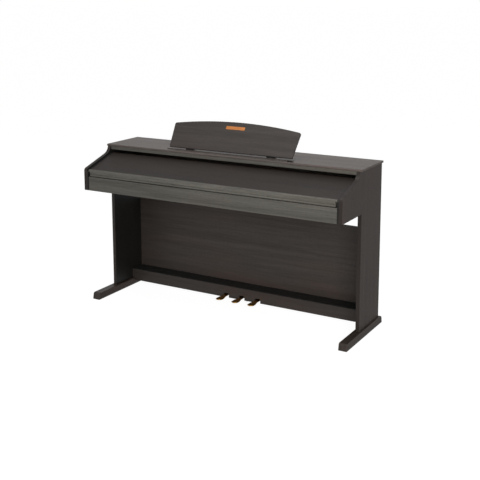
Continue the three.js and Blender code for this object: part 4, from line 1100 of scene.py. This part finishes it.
@dataclass
class Pedal:
    """A cast pedal: a domed tongue that sweeps up to its hub.

    Where the tip ends and the neck narrows are shares of the tongue's length. The crown, the neck's width
    and the tip's thinness are shares of its full section.
    """

    name: str
    stations: int = 30
    around: int = 20
    crown: float = 0.34
    side_roundness: float = 0.75
    top_roundness: float = 0.8
    tail: float = 18 * MM
    tip_share: float = 0.14
    tip_roundness: float = 2.4
    tip_bluntness: float = 0.02
    least_opening: float = 1e-4
    tip_thinness: float = 0.55
    neck_width: float = 0.62
    neck_start: float = 0.22
    neck_length: float = 0.26
    sweep_start: float = 104 * MM
    sweep_length: float = 20 * MM
    sweep_rise: float = 26.5 * MM
    underside: float = 4.2 * MM
    half_thickness: float = 3.9 * MM
    hub_growth: float = 0.6 * MM
    hub_offset: float = 9 * MM
    hub_half: float = 11 * MM
    hub_bevel: float = 0.8 * MM
    hub_bore: float = 5.4 * MM
    hub_shoulder: float = 8.2 * MM
    hub_radius: float = 8.9 * MM
    hub_segments: int = 28

    def build(self) -> None:
        """Makes the pedal over its frame node, and puts it on the same body."""
        low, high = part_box(self.name)
        shaper = Shaper()
        shaper.loft([self._section(low, high, step / self.stations) for step in range(self.stations + 1)])
        piece = shaper.piece(self.name + "_casting", BRASS, self.name, "brass")
        self._hub(low, high)
        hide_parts(self.name)

    def _section(self, low: Vector, high: Vector, share: float) -> list[Vector]:
        """Cuts the tongue across.

        Args:
            low: The frame node's lowest corner.
            high: Its highest corner.
            share: How far back from the tip, from 0 to 1.

        Returns:
            The section's points.
        """
        y = low.y + (high.y - self.tail - low.y) * share
        tip = min(1.0, share / self.tip_share)
        middle, half = (low.x + high.x) / 2, (high.x - low.x) / 2
        narrowing = smooth_step((share - self.neck_start) / self.neck_length)
        neck = 1 - (1 - self.neck_width) * narrowing
        opening = max(self.least_opening, 1 - (1 - tip) ** self.tip_roundness) + self.tip_bluntness
        width = half * neck * math.sqrt(opening)
        rise = smooth_step((y - low.y - self.sweep_start) / self.sweep_length)
        level = low.z + self.underside + rise * self.sweep_rise
        fullness = self.tip_thinness + (1 - self.tip_thinness) * math.sqrt(tip)
        thick = (self.half_thickness + rise * self.hub_growth) * fullness
        section = []
        for step in range(self.around):
            across, up = spoke(1.0, step / self.around)
            x = math.copysign(abs(across) ** self.side_roundness, across) * width
            z = math.copysign(abs(up) ** self.top_roundness, up) * thick
            drop = self.crown * thick * (abs(x) / half) ** 2
            section.append(Vector((middle + x, y, level + z - drop)))
        return section

    def _hub(self, low: Vector, high: Vector) -> None:
        """Makes the round boss that turns on the axle.

        Args:
            low: The frame node's lowest corner.
            high: Its highest corner.
        """
        side = [(self.hub_bore, 0), (self.hub_shoulder, 0), (self.hub_radius, self.hub_bevel)]
        left = [(radius, inset - self.hub_half) for radius, inset in side]
        right = [(radius, -height) for radius, height in reversed(left)]
        centre = Vector(((low.x + high.x) / 2, high.y - self.hub_offset, high.z - self.hub_offset))
        shaper = Shaper()
        place = Matrix.Translation(centre) @ Matrix.Rotation(math.pi / 2, 4, "Y")
        shaper.lathe(place, [*left, *right, left[0]], self.hub_segments)
        shaper.piece(self.name + "_hub", BRASS, self.name, "brass")


def smooth_step(share: float) -> float:
    """0 below 0, 1 above 1, and smooth between."""
    held = min(1.0, max(0.0, share))
    return held * held * (3 - 2 * held)


@dataclass
class Stand:
    """Back panel, pedal box and pedals."""

    panel_tone: float = 0.95
    # The pedal box's front board is darkened as painted shade.
    front_tone: float = 0.75
    board_edge: float = 1.0 * MM
    top_edge: float = 0.6 * MM
    chassis_edge: float = 0.3 * MM
    axle_edge: float = 0.5 * MM
    adjuster_edge: float = 0.8 * MM
    screw_inset: float = 14 * MM
    screw_sink: float = 1.2 * MM
    screw_shares: tuple[float, ...] = (0.1, 0.5, 0.9)
    screws: Screws = field(default_factory=Screws)

    def build(self) -> None:
        """Dresses the stand and makes the pedals."""
        # The pedal box's front board takes a darker tone as painted shade.
        for name, tone in (("stand_back_panel", self.panel_tone), ("pedal_front_board", self.front_tone)):
            dress_board(name, Laminate(Grain.ACROSS, tone), self.board_edge)
        dress("pedal_box_top", BLACK_BOARD, self.top_edge)
        dress("pedal_chassis", DARK_STEEL, self.chassis_edge)
        dress("pedal_axle", STEEL, self.axle_edge)
        dress("height_adjuster", BLACK_PLASTIC, self.adjuster_edge)
        for which in ("left", "middle", "right"):
            dress(f"pedal_spring_{which}", SPRING_STEEL)
            Pedal(f"pedal_{which}").build()
        self._back_screws()

    def _back_screws(self) -> None:
        """Screws down both ends of the back panel."""
        low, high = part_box("stand_back_panel")
        places = [
            facing(Vector((x, high.y - self.screw_sink, low.z + share * (high.z - low.z))), BACK)
            for x in (low.x + self.screw_inset, high.x - self.screw_inset)
            for share in self.screw_shares
        ]
        self.screws.piece("stand_back_screws", places)


@dataclass
class Keyboard:
    """Keys, their frame and the blocks beside them."""

    white_edge: float = 0.7 * MM
    black_edge: float = 1.2 * MM
    block_edge: float = 1.0 * MM
    felt_height: float = 7 * MM
    felt_corner: float = 1.2 * MM
    felt_half: float = 1.2 * MM
    felt_gap: float = 1.4 * MM
    felt_rise: float = 4.6 * MM

    def build(self) -> None:
        """Dresses the keys."""
        dress("key_frame", BLACK_PLASTIC)
        for name in NODES:
            single = name.startswith("key_") and name.endswith("4")
            if name.startswith("black_keys") or (single and "sharp" in name):
                dress(name, EBONY, self.black_edge, segments=3)
            elif name.startswith("white_keys") or single:
                dress(name, IVORY, self.white_edge, segments=3, flatten=single)
        for side in ("left", "right"):
            dress_board(f"cheek_block_{side}", Laminate(Grain.DEEP), self.block_edge)
        self._felt()

    def _felt(self) -> None:
        """The felt strip between the keys and the control panel's lip."""
        panel_low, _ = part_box("control_panel")
        keys_low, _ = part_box("white_keys_bass")
        _, keys_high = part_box("white_keys_treble")
        middle = Vector((0, panel_low.y - self.felt_gap, keys_high.z + self.felt_rise))
        outline = rounded(keys_high.x - keys_low.x, self.felt_height, self.felt_corner)
        shaper = Shaper()
        shaper.plate(facing(middle, FRONT), outline, -self.felt_half, self.felt_half)
        shaper.piece("key_felt", RED_FELT)


@dataclass
class ControlPanel:
    """Sloping panel, its buttons, knob and marks."""

    buttons: tuple[str, ...] = ("power_button", "function_button_1", "function_button_2")
    panel_edge: float = 0.8 * MM
    button_edge: float = 0.6 * MM
    knob_edge: float = 0.3 * MM
    slope_rise: float = 21 * MM
    slope_run: float = 73 * MM
    dots: int = 11
    dot_circle: float = 15.5 * MM
    dot_radius: float = 0.7 * MM
    dot_height: float = 0.25 * MM
    dot_bevel: float = 0.1 * MM
    dot_segments: int = 12
    sweep: float = 280 / 360
    pointer_width: float = 1.4 * MM
    pointer_length: float = 6 * MM
    pointer_up: float = 12 * MM
    pointer_corner: float = 0.6 * MM
    pointer_low: float = -0.2 * MM
    pointer_high: float = 0.25 * MM
    lamp_radius: float = 1.4 * MM
    lamp_height: float = 0.9 * MM
    lamp_flat: float = 0.8 * MM
    lamp_skirt: float = 0.4 * MM
    lamp_bevel: float = 0.1 * MM
    lamp_segments: int = 16
    lamp_gap: float = 11 * MM

    def build(self) -> None:
        """Dresses the panel and adds its marks."""
        dress("control_panel", BLACK_PLASTIC, self.panel_edge)
        for name in self.buttons:
            dress(name, BUTTON_PLASTIC, self.button_edge, flatten=False)
        dress("volume_knob", BUTTON_PLASTIC, self.knob_edge)
        self._dots()
        self._pointer()
        self._lamps()

    def _face(self, name: str) -> Matrix:
        """Finds the panel's surface at a control.

        Args:
            name: The control.

        Returns:
            A frame there, with z out of the panel.
        """
        low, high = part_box(name)
        panel_low, panel_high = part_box("control_panel")
        normal = Vector((0, -self.slope_rise, self.slope_run))
        centre = (low + high) / 2
        lip = panel_high.z - self.slope_rise
        height = lip + (centre.y - panel_low.y) * self.slope_rise / self.slope_run
        return facing(Vector((centre.x, centre.y, height)), normal, BACK)

    def _dots(self) -> None:
        """A ring of printed dots round the knob."""
        knob = self._face("volume_knob")
        top, rim, bevel = self.dot_height, self.dot_radius, self.dot_bevel
        profile = [(0, top), (rim - bevel, top - bevel / 2), (rim, 0), (0, 0)]
        shaper = Shaper()
        for index in range(self.dots):
            share = STRAIGHT_UP + self.sweep * (0.5 - index / (self.dots - 1))
            at = Vector((*spoke(self.dot_circle, share), 0))
            shaper.lathe(knob @ Matrix.Translation(at), profile, self.dot_segments)
        shaper.piece("volume_dots", WHITE_PRINT)

    def _pointer(self) -> None:
        """The pointer on the knob, which turns with it."""
        top = self._face("volume_knob") @ Matrix.Translation((0, self.pointer_length, self.pointer_up))
        outline = rounded(self.pointer_width, self.pointer_length, self.pointer_corner)
        shaper = Shaper()
        shaper.plate(top, outline, self.pointer_low, self.pointer_high)
        shaper.piece("volume_pointer", WHITE_PRINT, "volume_knob")

    def _lamps(self) -> None:
        """Domed pilot lamps above the buttons."""
        top, rim, bevel = self.lamp_height, self.lamp_radius, self.lamp_bevel
        profile = [(0, top), (self.lamp_flat, top - bevel), (rim - bevel, self.lamp_skirt), (rim, 0), (0, 0)]
        shaper = Shaper()
        for name in self.buttons:
            lamp = self._face(name) @ Matrix.Translation((0, self.lamp_gap, 0))
            shaper.lathe(lamp, profile, self.lamp_segments)
        shaper.piece("pilot_lamps", GREEN_LENS)


@dataclass
class KeyCover:
    """Sliding cover, its guides and its geared shaft."""

    cover_edge: float = 0.9 * MM
    nose_depth: float = 12.8 * MM

    def build(self) -> None:
        """Dresses the cover and its running gear."""
        low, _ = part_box("key_cover")
        # The cover is darker as painted shade, and its nose lighter as painted light and highlight.
        cover = Laminate(Grain.ACROSS, place="cover", tones=COVER_TONES, nose=low.y + self.nose_depth)
        dress_board("key_cover", cover, self.cover_edge)
        for side in ("left", "right"):
            dress(f"cover_guide_{side}", GLIDE_PLASTIC)
        dress("cover_pinion_shaft", STEEL)


@dataclass
class MusicRest:
    """Folding rest, its hinges, stay, ledge and badge bar."""

    lean: float = math.radians(33)
    rest_tone: float = 0.95
    # The score ledge's tone is lifted as a painted highlight.
    ledge_tone: float = 1.15
    rest_edge: float = 1.2 * MM
    rest_edge_segments: int = 3
    foot_reach: float = 0.2 * MM
    ledge_edge: float = 0.6 * MM
    leaf_edge: float = 0.25 * MM
    bar_width: float = 106 * MM
    bar_height: float = 17 * MM
    bar_up: float = 128 * MM
    bar_thickness: float = 0.9 * MM
    bar_edge: float = 0.3 * MM
    stop_width: float = 26 * MM
    stop_depth: float = 8 * MM
    stop_height: float = 5 * MM
    stop_edge: float = 0.8 * MM
    stop_inset: float = 7 * MM
    stop_back: float = 11 * MM
    stop_sink: float = 0.2 * MM
    corner: float = 2 * MM
    screw_spread: float = 15 * MM
    screw_inset: float = 4 * MM
    leaf_thickness: float = 1.5 * MM
    screws: Screws = field(default_factory=lambda: Screws(2.6 * MM, 1.0 * MM, 0.7 * MM))

    def build(self) -> None:
        """Dresses the rest and adds its trim."""
        # The score ledge is lighter as a painted highlight.
        rest, ledge = Laminate(Grain.ACROSS, self.rest_tone), Laminate(Grain.ACROSS, self.ledge_tone)
        dress_board("music_rest", rest, self.rest_edge, self.rest_edge_segments)
        dress_board("score_ledge", ledge, self.ledge_edge)
        dress("rest_stay", STEEL)
        for side in ("left", "right"):
            dress(f"hinge_leaf_fixed_{side}", DARK_STEEL, self.leaf_edge)
            dress(f"hinge_leaf_moving_{side}", DARK_STEEL, self.leaf_edge)
        self._badge()
        self._stop()
        self._hinge_screws()

    def _plane(self) -> Matrix:
        """Finds the rest's front face, from its bottom edge, which comes furthest forward.

        Returns:
            A frame there: x along the rest, y up it, z out of its front.
        """
        low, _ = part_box("music_rest")
        points = [vertex.co for vertex in NODES["music_rest"].data.vertices]
        foot = min(point.z for point in points if point.y < low.y + self.foot_reach)
        up = Vector((0, math.sin(self.lean), math.cos(self.lean)))
        normal = Vector((0, -math.cos(self.lean), math.sin(self.lean)))
        return facing(Vector((0, low.y, foot)), normal, up)

    def _badge(self) -> None:
        """A plain brass bar near the top of the rest."""
        shaper = Shaper()
        place = self._plane() @ Matrix.Translation((0, self.bar_up, 0))
        outline = rounded(self.bar_width, self.bar_height, self.corner)
        shaper.plate(place, outline, 0.0, self.bar_thickness)
        shaper.piece("music_rest_bar", BADGE_BRASS, "music_rest", "brass", self.bar_edge)

    def _stop(self) -> None:
        """A small dark rubber block at the ledge's right end."""
        board_low, board_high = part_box("top_board")
        _, ledge_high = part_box("score_ledge")
        sunk = board_high.z - self.stop_sink
        centre = Vector((ledge_high.x - self.stop_inset, board_low.y + self.stop_back, sunk))
        outline = rounded(self.stop_width, self.stop_depth, self.corner)
        shaper = Shaper()
        shaper.plate(facing(centre, UP, BACK), outline, 0.0, self.stop_height)
        shaper.piece("rest_stop", RUBBER, radius=self.stop_edge)

    def _hinge_screws(self) -> None:
        """Two small screws in each hinge leaf on the top board."""
        places = []
        for side in ("left", "right"):
            low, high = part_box(f"hinge_leaf_fixed_{side}")
            middle = (low.x + high.x) / 2
            for x in (middle - self.screw_spread, middle + self.screw_spread):
                at = Vector((x, high.y - self.screw_inset, low.z + self.leaf_thickness))
                places.append(facing(at, UP, BACK))
        self.screws.piece("hinge_screws", places)


@dataclass
class Electronics:
    """Speakers, main board and connector plate."""

    plate_edge: float = 0.3 * MM
    bush_length: float = 5 * MM
    bushes: tuple[float, ...] = (-28 * MM, 2 * MM, 32 * MM)
    ring_bore: float = 6.3 * MM
    ring_radius: float = 9.0 * MM
    ring_low: float = 0.2 * MM
    ring_high: float = 2.8 * MM
    ring_bevel: float = 0.6 * MM
    ring_segments: int = 32
    inlet: float = -50 * MM
    inlet_depth: float = 16 * MM
    pins: tuple[tuple[float, float], ...] = ((-5 * MM, -1.5 * MM), (0, 2.5 * MM), (5 * MM, -1.5 * MM))
    pin_width: float = 1.4 * MM
    pin_height: float = 3.6 * MM
    pin_corner: float = 0.4 * MM
    pin_length: float = 11 * MM
    screw_inset: float = 5 * MM
    screws: Screws = field(default_factory=lambda: Screws(2.4 * MM, 1.1 * MM, 0.8 * MM))

    def build(self) -> None:
        """Dresses the parts inside and the connectors on the back."""
        for side in ("left", "right"):
            dress(f"speaker_{side}", BLACK_PLASTIC)
        dress("main_circuit_board", GREEN_BOARD)
        dress("jack_panel", BLACK_PLASTIC, self.plate_edge)
        low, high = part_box("jack_panel")
        face = high.y - self.bush_length
        centre = Vector(((low.x + high.x) / 2, face, (low.z + high.z) / 2))
        self._jack_rings(centre)
        self._inlet_pins(centre)
        self._plate_screws(low, high, face)

    def _jack_rings(self, centre: Vector) -> None:
        """Puts nickel rings round the jack bushes.

        Args:
            centre: The middle of the plate's face.
        """
        bore, outer, rim = self.ring_bore, self.ring_radius, self.ring_high - self.ring_bevel
        profile = [(bore, self.ring_low), (outer, self.ring_low), (outer, rim)]
        profile += [(radius, self.ring_high) for radius in (outer - self.ring_bevel, bore + self.ring_bevel)]
        profile += [(bore, rim), profile[0]]
        shaper = Shaper()
        for across in self.bushes:
            shaper.lathe(facing(centre + Vector((across, 0, 0)), BACK), profile, self.ring_segments)
        shaper.piece("jack_rings", NICKEL)

    def _inlet_pins(self, centre: Vector) -> None:
        """Puts the three pins into the mains inlet.

        Args:
            centre: The middle of the plate's face.
        """
        outline = rounded(self.pin_width, self.pin_height, self.pin_corner)
        shaper = Shaper()
        for across, up in self.pins:
            at = centre + Vector((self.inlet + across, -self.inlet_depth, up))
            shaper.plate(facing(at, BACK), outline, 0.0, self.pin_length)
        shaper.piece("inlet_pins", NICKEL)

    def _plate_screws(self, low: Vector, high: Vector, face: float) -> None:
        """Puts a screw into each corner of the connector plate.

        Args:
            low: The plate's lowest corner.
            high: Its highest corner.
            face: Where its face is, along y.
        """
        places = [
            facing(Vector((x, face, z)), BACK)
            for x in (low.x + self.screw_inset, high.x - self.screw_inset)
            for z in (low.z + self.screw_inset, high.z - self.screw_inset)
        ]
        self.screws.piece("jack_plate_screws", places)


# ------------------------------------------------------------------ studio


@dataclass(frozen=True)
class Lamp:
    """A square soft lamp: where it stands, what it faces, its side in metres and its watts."""

    name: str
    place: tuple[float, float, float]
    aim: tuple[float, float, float]
    size: float
    power: float
    mirrored: bool = True

    def build(self) -> None:
        """Sets the lamp up; one that isn't mirrored stays out of reflections."""
        data = bpy.data.lights.new(self.name, "AREA")
        data.shape = "SQUARE"
        data.size = self.size
        data.energy = self.power
        lamp = bpy.data.objects.new(self.name, data)
        lamp.location = self.place
        lamp.rotation_euler = (Vector(self.aim) - Vector(self.place)).to_track_quat("-Z", "Y").to_euler()
        lamp.visible_glossy = self.mirrored
        bpy.context.scene.collection.objects.link(lamp)


@dataclass
class Studio:
    """Floor, surroundings, lamps and camera.

    What reflections see of the surround dims upward, less so where it glows, and dims rightward, and has
    one bright window. Each change is given as the direction's part along an axis where it starts and ends.
    """

    lamps: tuple[Lamp, ...] = (
        Lamp("key lamp", (2.4, -3.1, 1.4), (0.2, 0, 0.6), 1.8, 98, mirrored=False),
        Lamp("overhead lamp", (-0.8, -0.4, 3.4), (0.2, -0.1, 0.7), 1.7, 18),
    )
    floor_half: float = 90.0
    floor_white: float = 0.94
    floor_mirrored: float = 0.4
    floor_shadowed: Colour = grey(0.2)
    floor_bounce: Colour = grey(0.3)
    even_light: float = 0.28
    sky_white: Colour = grey(1.0)
    sky_dim: Colour = grey(0.2)
    window: Colour = grey(2.2)
    dim_upward: tuple[float, float] = (0.16, 0.55)
    dim_rightward: tuple[float, float] = (-0.62, 0.2)
    dimness_right: float = 0.62
    glow_rightward: tuple[float, float] = (-0.58, -0.36)
    glow: float = 0.65
    window_rightward: tuple[float, float] = (0.25, 0.4)
    window_frontward: tuple[float, float] = (0.4, 0.55)
    camera_place: tuple[float, float, float] = (2.19131, -3.70244, 1.57713)
    camera_turn: tuple[float, float, float] = (80.419, 0.06, 29.893)
    lens: float = 67.448
    sensor: float = 36
    shift_down: float = -0.2

    def build(self) -> None:
        """Sets everything up."""
        self._floor()
        self._world()
        for lamp in self.lamps:
            lamp.build()
        self._camera()
        bpy.context.scene.view_settings.view_transform = "Standard"

    def _split(self, sheet: ShaderSheet, output: str, hidden: Value, seen: Value) -> None:
        """Ends a sheet in one shader for light that is scattered and one for what is seen.

        Args:
            sheet: The floor's or the world's sheet.
            output: The type of its output node.
            hidden: The shader for scattered light.
            seen: The shader for the camera, reflections and refractions.
        """
        share = sheet.ray("Camera") | sheet.ray("Glossy") | sheet.ray("Transmission")
        both = sheet.shader("ShaderNodeMixShader", {0: share, 1: hidden, 2: seen})
        sheet.node(output, None, {"Surface": both})

    def _floor(self) -> None:
        """A plain pale floor that keeps a faint shadow."""
        far = self.floor_half
        corners = [(-far, -far, 0), (far, -far, 0), (far, far, 0), (-far, far, 0)]
        data = bpy.data.meshes.new("floor")
        data.from_pydata(corners, [], [(0, 1, 2, 3)])
        floor = bpy.data.objects.new("floor", data)
        bpy.context.scene.collection.objects.link(floor)
        material, sheet = ShaderSheet.for_material("floor")
        bounce = sheet.shader("ShaderNodeBsdfDiffuse", {"Color": self.floor_bounce})
        shadowed = sheet.shader("ShaderNodeBsdfDiffuse", {"Color": self.floor_shadowed})
        white = sheet.shader("ShaderNodeEmission", {"Color": grey(1.0), "Strength": self.floor_white})
        dimmed = sheet.shader("ShaderNodeEmission", {"Color": grey(1.0), "Strength": self.floor_mirrored})
        shown = sheet.shader("ShaderNodeAddShader", {0: shadowed, 1: white})
        seen = sheet.shader("ShaderNodeMixShader", {0: sheet.ray("Glossy"), 1: shown, 2: dimmed})
        self._split(sheet, "ShaderNodeOutputMaterial", bounce, seen)
        data.materials.append(material)

    def _world(self) -> None:
        """Even grey light, and a white surround that reflections see shaded, with one bright window."""
        world = bpy.data.worlds.new("studio")
        bpy.context.scene.world = world
        world.use_nodes = True
        sheet = ShaderSheet(world.node_tree)
        towards = sheet.coordinates("Generated")
        right, back, height = (sheet.axis(towards, name) for name in "XYZ")
        glow = right.between(*self.glow_rightward) * self.glow
        dim = height.between(*self.dim_upward) * (1 - glow)
        dim = dim | right.between(*self.dim_rightward) * self.dimness_right
        window = right.between(*self.window_rightward) * (-1 * back).between(*self.window_frontward)
        mirrored = 1 - sheet.ray("Camera")
        sky = sheet.mix(dim * mirrored, self.sky_white, self.sky_dim)
        sky = sheet.mix(window * mirrored, sky, self.window)
        even = sheet.shader("ShaderNodeBackground", {"Color": grey(1.0), "Strength": self.even_light})
        around = sheet.shader("ShaderNodeBackground", {"Color": sky, "Strength": 1.0})
        self._split(sheet, "ShaderNodeOutputWorld", even, around)

    def _camera(self) -> None:
        """The camera, a little above the top board and to the right."""
        data = bpy.data.cameras.new("camera")
        data.lens = self.lens
        data.sensor_width = self.sensor
        data.shift_y = self.shift_down
        camera = bpy.data.objects.new("camera", data)
        camera.location = self.camera_place
        camera.rotation_euler = Euler([math.radians(angle) for angle in self.camera_turn])
        bpy.context.scene.collection.objects.link(camera)
        bpy.context.scene.camera = camera


# ------------------------------------------------------------------ the whole piano


def main() -> None:
    """Builds the sub-assemblies in order."""
    logging.basicConfig(level=logging.INFO, format="%(name)s: %(message)s")
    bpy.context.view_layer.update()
    parts: list[tuple[str, Callable[[], None]]] = [
        ("cabinet", Cabinet().build),
        ("stand", Stand().build),
        ("keyboard", Keyboard().build),
        ("control panel", ControlPanel().build),
        ("key cover", KeyCover().build),
        ("music rest", MusicRest().build),
        ("electronics", Electronics().build),
        ("studio", Studio().build),
    ]
    for name, build in parts:
        log.info("building the %s", name)
        build()


if __name__ == "__main__":
    main()
